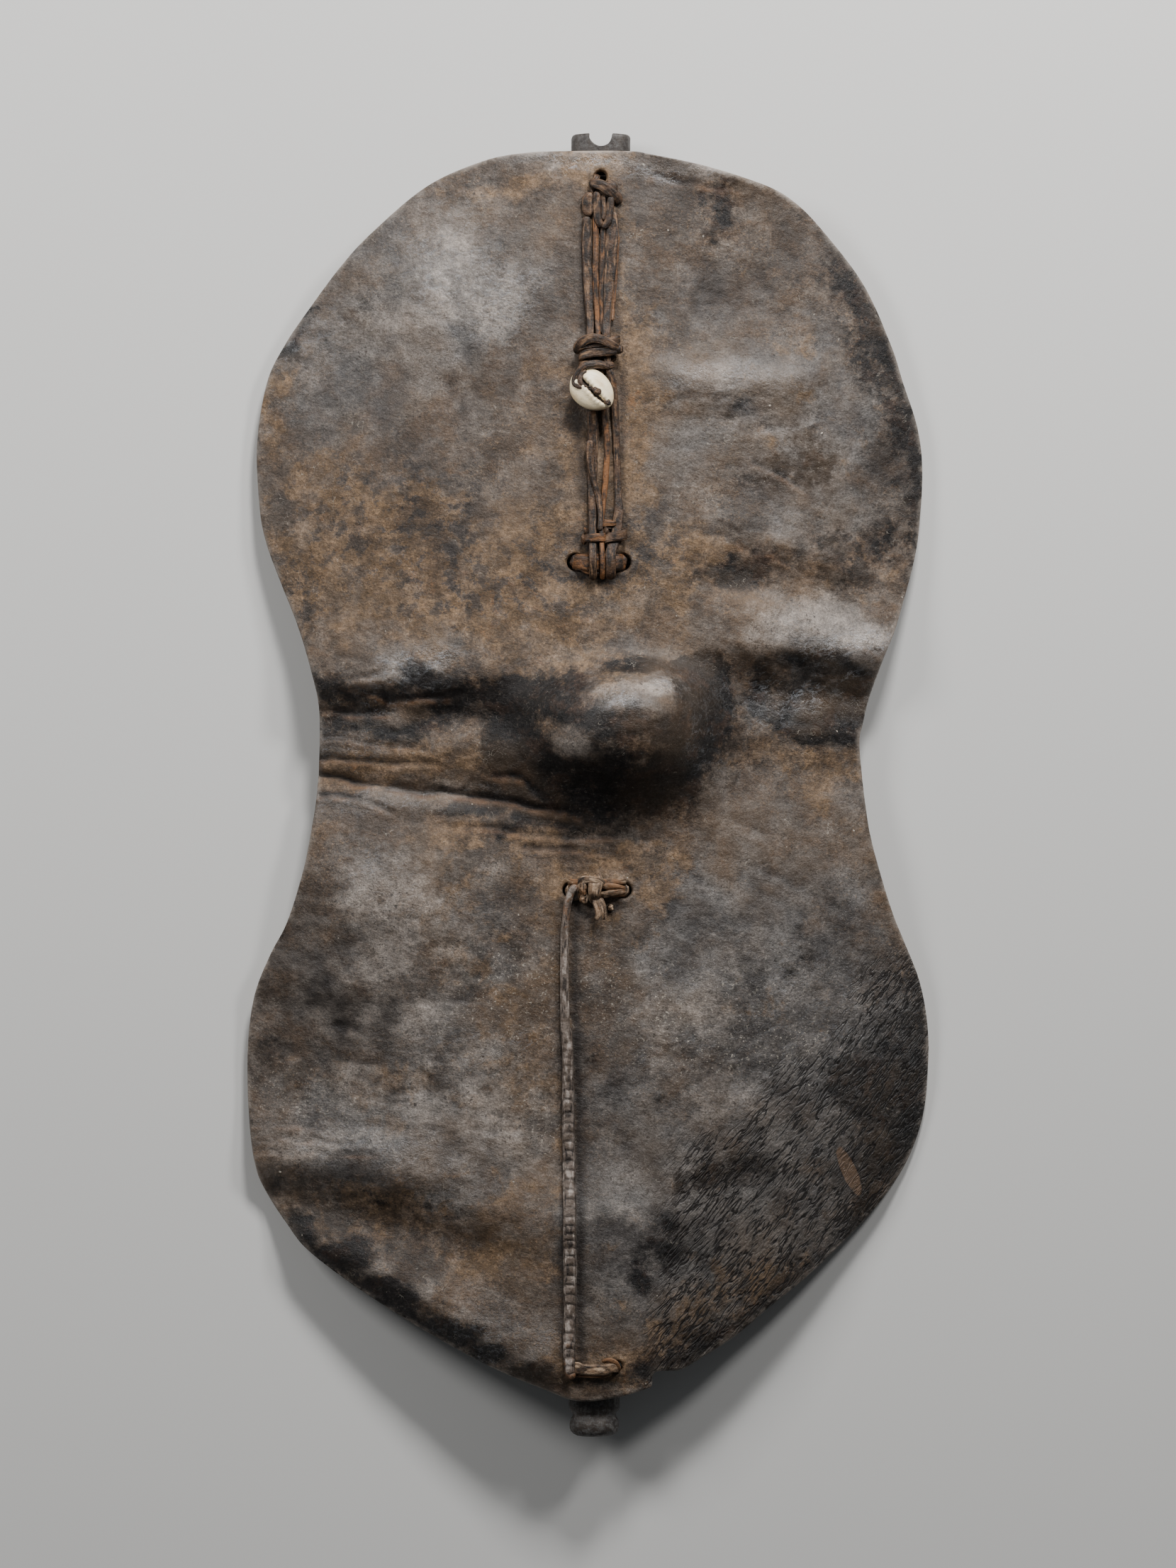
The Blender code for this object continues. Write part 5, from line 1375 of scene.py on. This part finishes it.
def build_top_lashing(finish):
    """The knotted thong at the top: round the stave, up through its hole, and down in a bight."""
    x, y = stave_x(TOP_HOLE_Y), TOP_HOLE_Y
    half = stave_width(y) / 2 + 2.5
    route = []
    for i in range(28):
        angle = math.tau * i / 28
        c, s = math.cos(angle), math.sin(angle)
        route.append((
            x + half * math.copysign(abs(c) ** 0.8, c), y + 0.6 * math.sin(3 * angle),
            stave_middle(y) + (STAVE_THICKNESS / 2 + 2.2) * math.copysign(abs(s) ** 0.8, s),
        ))
    ups = [(math.cos(math.tau * i / 220), 0, math.sin(math.tau * i / 220)) for i in range(221)]
    face = height_at(x, y - 2.0)
    crown = stave_top(y) + 1.5
    stem = [
        (-3.0, 0.8, crown - face), (-2.6, 0.6, -2.0), (-2.4, -1.0, 1.6), (-4.6, -6.0, 2.0),
        (-4.4, -11.5, 1.6),
    ]
    across = [
        (-6.6, -3.2, 1.6), (-4.2, -4.4, 3.8), (1.2, -6.2, 5.0), (6.0, -9.2, 4.2), (10.2, -13.2, 2.4),
        (10.4, -17.0, 1.0),
    ]
    under = [(3.6, -2.8, 1.0), (7.4, -5.4, 2.2), (9.0, -9.4, 1.6)]
    bight_left = [(-2.4, -9.0, 1.8), (-2.2, -18.0, 1.4), (-1.6, -26.0, 1.2), (1.0, -31.0, 0.9)]
    bight_right = [(6.2, -12.0, 1.6), (5.6, -20.0, 1.5), (4.4, -27.5, 1.2), (0.6, -31.4, 0.8)]
    inner = [(1.6, -11.0, 1.4), (1.8, -19.0, 1.2), (1.4, -27.0, 1.0)]
    tail = [(-5.6, -10.0, 1.2), (-8.0, -14.0, 0.7), (-7.8, -19.5, 0.4), (-6.6, -24.5, 0.2)]
    assemble("top_lashing_thong", [
        ribbon(route, 5.1, 3.0, ups, closed=True, seed=3),
        ribbon(moved(stem, x, y, face), (3.4, 3.8, 4.2, 4.4), 2.4, (0.2, 0.9, 0.4), seed=5, rust=0.3),
        ribbon(moved(across, x, y, face), (4.4, 6.4, 7.0, 6.0, 4.6), 2.8, seed=7, wear=0.12, curl=0.10),
        ribbon(moved(under, x, y, face), (3.0, 4.4, 3.6), 2.2, seed=8, wear=0.12),
        strand(moved(bight_left, x, y), (4.6, 5.0, 4.6), 2.8, seed=9, rust=(0.1, 0.2, 0.7), twist=0.15),
        strand(moved(bight_right, x, y), (4.2, 4.8, 4.4), 2.8, seed=10, rust=(0.0, 0.2, 0.6), twist=0.15),
        strand(moved(inner, x, y), (3.0, 3.6, 3.0), 2.4, seed=12),
        strand(moved(tail, x, y), (5.0, 6.6, 7.0, 5.0), 3.0, seed=11, wear=0.16),
    ], finish, "top_lashing")


# Heights at which the strands cross the wraps and the slot's roll
WRAP = 3.8
ROLL = 5.6


def build_strands(finish, rusty):
    """The strands from the top bight to the slot lashing, in three pieces."""
    left = [
        (-0.8, 338, 0.3), (-1.0, 325, 0.2), (-0.2, 300, 0.5), (1.2, 276, 1.8), (1.2, 265, WRAP),
        (1.4, 247, WRAP), (2.4, 239, WRAP), (2.8, 222, 2.2), (2.8, 200, 0.5), (2.6, 176, 0.4),
        (2.6, 158, 2.0), (2.6, 145, WRAP), (2.8, 136, ROLL + 0.3), (3.0, 128, ROLL + 0.8),
        (3.0, 121.5, ROLL - 1.0), (3.2, 117.5, 1.2),
    ]
    left_top = [
        (0.9, 202, 2.9), (1.4, 190, 2.7), (3.4, 178, 2.6), (6.2, 168, 2.6), (7.4, 158, 3.6),
        (7.2, 147, WRAP + 1.2),
    ]
    assemble("left_strand_thong", [
        strand(left, (4.8, 5.8, 5.8, 5.4, 4.4, 4.4, 5.2, 6.4, 6.6, 6.2, 5.2, 4.8, 4.6, 4.6), 2.3, seed=21,
               rust=(0, 0.05, 0.1, 0.3, 0.1, 0.2), twist=0.10),
        strand(left_top, (4.8, 4.6, 3.6, 3.4, 3.2), 1.9, seed=22, rust=0.1, wear=0.14),
    ], finish, "left_strand")
    middle = [
        (4.8, 341, 0.4), (4.6, 325, 0.3), (4.6, 296, 0.6), (5.6, 276, 1.8), (6.2, 265, WRAP),
        (6.6, 247, WRAP), (8.2, 239, WRAP), (9.4, 222, 2.2), (11.6, 200, 0.6), (10.4, 176, 0.5),
        (8.6, 158, 2.0), (8.2, 146, WRAP), (8.4, 136, ROLL + 0.4), (8.6, 128, ROLL + 0.9),
        (8.8, 121.5, ROLL - 1.0), (8.8, 118, 1.0),
    ]
    hidden = [(9.2, 333, 0.1), (8.8, 318, 0.1), (8.2, 296, 0.2), (8.4, 277, 1.0), (8.8, 266, 3.0)]
    assemble("middle_strand_thong", [
        strand(middle, (3.6, 3.8, 3.8, 3.2, 3.0, 3.0, 3.4, 3.6, 3.6, 3.2, 3.0, 3.0), 2.2, seed=24,
               rust=(1.0, 0.4, 0.9, 0.5, 0.4, 1.0, 0.6, 0.9), twist=0.22),
        strand(hidden, (3.0, 3.6, 3.2), 1.8, seed=25, twist=0.1),
    ], rusty, "middle_strand")
    right = [
        (14.8, 341, 0.6), (14.8, 329, 0.4), (13.0, 300, 0.6), (11.4, 276, 1.8), (10.9, 265, WRAP),
        (12.0, 247, WRAP), (14.2, 239, WRAP), (16.2, 222, 2.2), (17.2, 200, 0.7), (18.0, 176, 0.6),
        (18.4, 158, 2.2), (17.2, 146, WRAP), (14.2, 136, ROLL + 0.3), (13.6, 128, ROLL + 0.8),
        (13.6, 121.5, ROLL - 0.8), (13.4, 117.8, 1.4),
    ]
    fringe = [(18.2, 326, 0.2), (17.0, 308, 0.2), (15.8, 290, 0.5), (14.6, 274, 2.0)]
    assemble("right_strand_thong", [
        strand(right, (6.4, 8.0, 7.4, 6.0, 5.2, 4.8, 4.8, 4.4, 4.2, 4.2, 4.6, 6.2, 6.4, 6.2), 2.2, seed=27,
               rust=(0.1, 0.1, 0.3, 0.1, 0.1), twist=0.08),
        strand(fringe, (2.0, 2.4, 1.8), 1.6, seed=28, rust=1.2, wear=0.2),
    ], finish, "right_strand")


def build_wraps(finish, rusty):
    """The wound knot that holds the strands together, and the two small wraps above the slot."""
    z = height_at(6.4, KNOT_Y) + WRAP + 1.2
    crossing = [
        (-6.6, -2.0, 0.6), (-5.4, 2.8, 3.6), (0.6, 6.8, 5.4), (7.8, 6.6, 5.4), (14.4, 3.2, 4.4),
        (18.8, 1.4, 2.0),
    ]
    low = [(-5.6, -8.0, -0.4), (-1.6, -8.6, 2.6), (6.0, -9.4, 3.2), (13.4, -9.0, 1.8), (15.6, -8.2, -0.8)]
    assemble("knot_wrap_thong", [
        wound((6.4, KNOT_Y + 1.2, z), 10.2, 2.1, 2.4, 5.4, (4.6, 5.6, 5.8, 5.4), 2.6, -1.2, 3.6, 31,
              wear=0.12, curl=0.06),
        ribbon(moved(crossing, 0, KNOT_Y, z), (4.8, 5.8, 5.8, 5.2, 4.2), 2.4, seed=33, wear=0.14, curl=0.10),
        ribbon(moved(low, 0, KNOT_Y, z), (4.2, 5.2, 5.2, 4.2), 2.2, seed=34, wear=0.12),
        lump((19.0, KNOT_Y + 0.6, z + 2.2), (4.6, 5.6, 4.2), seed=35),
    ], finish, "knot_wrap")
    y = SMALL_WRAP_Y
    z = height_at(4.4, y) + WRAP + 1.4
    assemble("left_wrap_thong", [
        wound((4.4, y - 0.6, z), 5.4, 1.9, 1.25, 4.6, (4.4, 5.2, 4.6), 1.8, 0.6, 2.6, 41, rust=0.6),
        lump((-2.2, y - 2.0, z - 0.6), (4.6, 6.4, 4.0), seed=42, roughness=0.2),
    ], rusty, "left_wrap")
    z = height_at(16.6, y) + WRAP + 1.4
    ring_z = height_at(12.6, y + 7) + WRAP + 0.2
    assemble("right_wrap_thong", [
        wound((16.6, y + 0.4, z), 5.0, 1.9, 1.3, 5.4, (5.4, 6.4, 5.4), 1.8, -0.5, 2.2, 44),
        wound((12.6, y + 7.6, ring_z), 2.9, 1.5, 1.1, 2.2, 3.2, 1.6, 0.0, 2.4, 45, rust=1.3),
    ], finish, "right_wrap")


def shell_form(u, v, w):
    """A point of the shell from a point of the unit ball: humped, with a curved slit and toothed lips."""
    away = u - (0.10 * np.sin(v * 2.6) - 0.03)
    face = np.clip(w, 0, 1)
    open_share = np.clip(1 - np.abs(v) ** 5, 0, 1)
    slit = np.exp(-((away / 0.085) ** 2)) * open_share * face**0.5
    lip = np.exp(-(((np.abs(away) - 0.26) / 0.15) ** 2)) * open_share * face
    tooth_row = np.exp(-(((np.abs(away) - 0.17) / 0.11) ** 2)) * open_share * face
    teeth = tooth_row * np.cos(v * 34 + 0.6 * np.sign(away))
    lift = np.sign(w) * np.abs(w) ** 0.8 * np.where(w > 0, 0.86, 0.8)
    half_width, half_length, half_height = COWRIE_SIZE / 2
    points = np.stack([
        u * (1.0 + 0.10 * v) * half_width, v * half_length * (1 + 0.02 * np.cos(5 * u)),
        lift * half_height - 2.9 * slit + 0.75 * lip + 0.30 * teeth,
    ], -1)
    worn_side = 0.28 * np.exp(-(((u + 0.75) / 0.3) ** 2)) * (w > -0.3)
    return points, np.clip(0.95 * slit + 0.42 * np.clip(-teeth, 0, 1) + worn_side, 0, 1)


def build_cowrie(finish):
    """The shell, its slit up, resting on the strands. Gives the height of its middle."""
    shell, faces = ball(110, 132)
    u, w, v = shell.T
    points, dirt = shell_form(u, v, w)
    x, y = COWRIE_PLACE
    centre_z = height_at(x, y) + WRAP + 3.0 + 5.2
    points = turned_about_z(points, COWRIE_TURN) + np.array([x, y, centre_z])
    shell = mesh_object("cowrie_shell", points, faces, finish)
    turn_outwards(shell)
    add_layer(shell, "dirt", dirt)
    give(shell, "cowrie")
    return centre_z


def build_cowrie_tie(finish, centre_z):
    """The cord from the knot, down the shell's left end and into its slit, and dried residue beside it."""
    cord = [
        (13.2, 245.4, -1.0), (8.4, 247.0, 1.2), (3.0, 247.4, 2.6), (-2.6, 245.6, 3.2), (-6.8, 240.6, 2.8),
        (-7.8, 235.6, 2.8), (-5.0, 233.2, 4.4), (-2.2, 232.4, 3.7),
    ]
    inner = [
        (-1.0, 243.4, 3.2), (-4.2, 240.0, 4.0), (-4.8, 236.4, 4.8), (-2.8, 234.0, 4.7), (0.4, 231.6, 4.4),
    ]
    top = centre_z + 6.3
    assemble("cowrie_tie_cord", [
        ribbon(moved(cord, z=centre_z), (3.4, 3.8, 4.0, 4.2, 4.0, 3.6, 2.6), 2.8, (0.0, 0.25, 1.0), seed=51,
               wear=0.12, squareness=0.8),
        ribbon(moved(inner, z=centre_z), (2.4, 3.0, 3.0, 2.2), 2.0, seed=52, wear=0.12, squareness=0.8),
        lump((5.4, 230.6, top - 0.3), (5.6, 4.4, 2.6), seed=53, roughness=0.35, turn=-0.5),
        lump((11.6, 224.0, top - 2.6), (4.4, 3.0, 2.2), seed=54, roughness=0.35, turn=-0.6),
        lump((2.0, 232.4, top - 1.2), (4.0, 2.8, 2.2), seed=55, roughness=0.35),
    ], finish, "cowrie_tie")


def hole_fill(y, width, thickness, seed, rust=0.0):
    """The strip's own bulk where it turns down into its two holes."""
    reach, middle = stave_width(y) / 2 + STRIP_CLEARANCE + thickness / 2, stave_x(y)
    return [
        lump((middle + side * (reach - 0.8), y, height_at(middle + side * (reach + 2.5), y) - 0.6),
             (thickness + 2.6, width - 0.8, 5.0), seed + number, 0.16, rust)
        for number, side in enumerate((-1, 1))
    ]


def build_slot_lashing(rusty):
    """The rolled lashing between the two slot holes, a bundle of twisted strips."""
    assemble("slot_lashing_roll", [
        lashing_ribbon(SLOT_Y - 0.6, 9.2, 4.6, -0.2, 0.8, seed=61, wear=0.12, rust=0.5),
        lashing_ribbon(SLOT_Y + 3.2, 3.4, 2.8, 0.2, -0.4, seed=62, wear=0.16, rust=0.9),
        lashing_ribbon(SLOT_Y - 3.6, 3.6, 3.0, 0.0, 2.6, seed=63, wear=0.16, rust=0.2),
        *hole_fill(SLOT_Y, SLOT_ROLL_WIDTH, SLOT_ROLL_THICKNESS, 64, 0.5),
    ], rusty, "slot_lashing")


def build_mid_lashing(finish):
    """The middle lashing with its knot and its short forked tail."""
    y, z = MID_Y, height_at(4.0, MID_Y)
    twisted_a = [(6.4, 3.6, 3.6), (11.6, 2.8, 5.2), (16.4, 2.4, 4.2), (20.4, 1.4, 1.6), (22.0, 0.6, -3)]
    twisted_b = [(6.8, -2.6, 3.6), (12.0, -2.0, 4.8), (17.2, -1.0, 3.8), (21.2, -1.0, 1.0), (21.8, -1.2, -3)]
    loop = [(4.4, -8.0, 2.6), (3.8, -2.0, 6.4), (4.6, 4.0, 6.6), (5.0, 8.4, 3.0), (4.4, 8.6, 1.2)]
    over = [
        (-6.8, -6.2, 1.4), (-7.4, -0.6, 2.8), (-4.6, 5.0, 4.2), (1.0, 6.6, 6.8), (7.4, 5.2, 6.2),
        (9.6, 1.6, 4.0),
    ]
    tail_a = [(4.6, -5.0, 4.8), (5.6, -9.4, 6.0), (6.2, -13.6, 6.2), (4.8, -17.6, 5.2)]
    tail_b = [(6.6, -4.6, 5.0), (9.0, -9.4, 6.4), (9.8, -13.4, 6.4), (9.6, -17.4, 5.4)]
    twisted = {"wear": 0.12, "twist": 0.5, "squareness": 0.8}
    assemble("mid_lashing_knot", [
        lashing_ribbon(y, 7.6, 3.6, -0.6, seed=71, wear=0.10, rust=1.3),
        lashing_ribbon(y + 5.4, 3.6, 3.4, 0.6, seed=70, wear=0.14, rust=1.0),
        ribbon(moved(twisted_a, 0, y, z), (4.2, 4.6, 4.2, 3.6), 3.4, seed=72, rust=1.3, **twisted),
        ribbon(moved(twisted_b, 0, y, z), (4.2, 4.6, 4.2, 3.4), 3.2, seed=73, rust=0.7, **twisted),
        ribbon(moved(loop, 0, y, z), (6.6, 8.2, 8.4, 7.0), 3.0, seed=74, wear=0.12, curl=0.12),
        ribbon(moved(over, 0, y, z), (4.4, 5.4, 5.4, 4.8, 4.2), 2.8, seed=75, wear=0.12, rust=0.2),
        lump((-2.6, y + 1.4, z + 4.2), (6.4, 9.0, 5.4), 76, 0.22, 0.7),
        lump((-1.6, y - 5.0, z + 3.0), (6.8, 7.0, 4.8), 77, 0.24, 0.4),
        lump((13.6, y - 10.2, height_at(13.6, y - 10.2) + 1.2), (3.8, 4.6, 3.0), 78, 0.2),
        ribbon(moved(tail_a, 0, y, z), (4.8, 4.6, 4.0, 3.4), 2.2, seed=79, wear=0.18, curl=0.3, rust=0.5),
        ribbon(moved(tail_b, 0, y, z), (4.4, 4.2, 3.6, 3.0), 2.2, seed=80, wear=0.14, curl=0.3),
        *hole_fill(y, MID_BAND_WIDTH, MID_BAND_THICKNESS, 84),
    ], finish, "mid_lashing")


def build_long_thong(finish):
    """The thong down the lower half, plain above and scaly with dried folds below."""
    upper = [(-6.6, 3.4, 2.6), (-9.4, 0.2, 1.6), (-12.2, -6.8, 0.6), (-13.0, -14, 0.3)]
    lower = [
        (-14.2, -103.4, 0.2), (-13.8, -149, 0.2), (-12.5, -166.6, 0.2), (-11.2, -261, 0.2),
        (-10.8, -310, 0.2), (-11.2, -347.2, 0.2),
    ]
    foot = [(-10.9, -2.0, 0.3), (-8.2, -6.2, 0.6)]
    route = [*moved(upper, y=MID_Y), *lower, *moved(foot, y=FOOT_Y)]
    widths = (4.8, 5.0, 5.2, 6.0, 7.0, 7.6, 8.0, 8.2, 8.2, 8.2, 7.6, 6.2)
    body = strand(route, widths, 3.4, seed=81, scales=1.0, rust=(0.9, 0.4, 0, 0, 0, 0, 0, 0, 0, 1.0))
    assemble("long_thong_strip", [body], finish, "long_thong")


def build_foot_lashing(finish):
    """The lashing at the foot: a grey band with rusty ends through its two holes."""
    z = height_at(4.0, FOOT_Y)
    curl = [(8.4, 3.4, 1.4), (12.4, 4.6, 3.4), (16.6, 3.2, 3.2), (18.6, -0.4, 1.2), (18.2, -2.4, -2)]
    under = [(-9.4, -4.4, 1.4), (-2.0, -5.0, 2.2), (8.0, -5.2, 2.0), (14.6, -3.4, 1.4)]
    assemble("foot_lashing_band", [
        lashing_ribbon(FOOT_Y, 6.4, 3.0, 0.2, 1.2, seed=91, wear=0.10),
        ribbon(moved(curl, 0, FOOT_Y, z), (2.2, 3.2, 3.2, 2.6), 2.2, seed=92, wear=0.16, rust=1.4),
        ribbon(moved(under, 0, FOOT_Y, z), (2.0, 2.4, 2.2), 1.8, seed=93, wear=0.2, rust=1.2),
    ], finish, "foot_lashing")


def build_shield(points, faces):
    """Every piece of the shield, from the points and faces of its hide."""
    skin = mesh_object("hide_skin", points, faces, hide_material())
    paint_hide(skin, points)
    give(skin, "hide")
    thong = thong_material("thong_hide", THONG, THONG_WORN, THONG_DEEP, RUST, 0.0)
    dry = thong_material("thong_dry", DRY, DRY_WORN, DRY_DEEP, RUST, 0.0, 0.55, 0.5)
    grey = thong_material("thong_grey", GREYED, GREYED_WORN, GREYED_DEEP, RUST, 0.0, 0.58, 0.75)
    rusty = thong_material("thong_rusty", RUSTY, RUST, THONG_DEEP, RUST_BRIGHT, 0.45, 0.55)
    build_stave(wood_material())
    build_top_lashing(thong)
    build_strands(thong, rusty)
    build_wraps(thong, rusty)
    build_cowrie_tie(thong, build_cowrie(cowrie_material()))
    build_slot_lashing(rusty)
    build_mid_lashing(dry)
    build_long_thong(grey)
    build_foot_lashing(dry)


hide_points, hide_faces = hide_body()
# The hide's lowest point, which lies on the floor
FLOOR = float(hide_points[:, 2].min())
build_stage()
build_shield(hide_points, hide_faces)
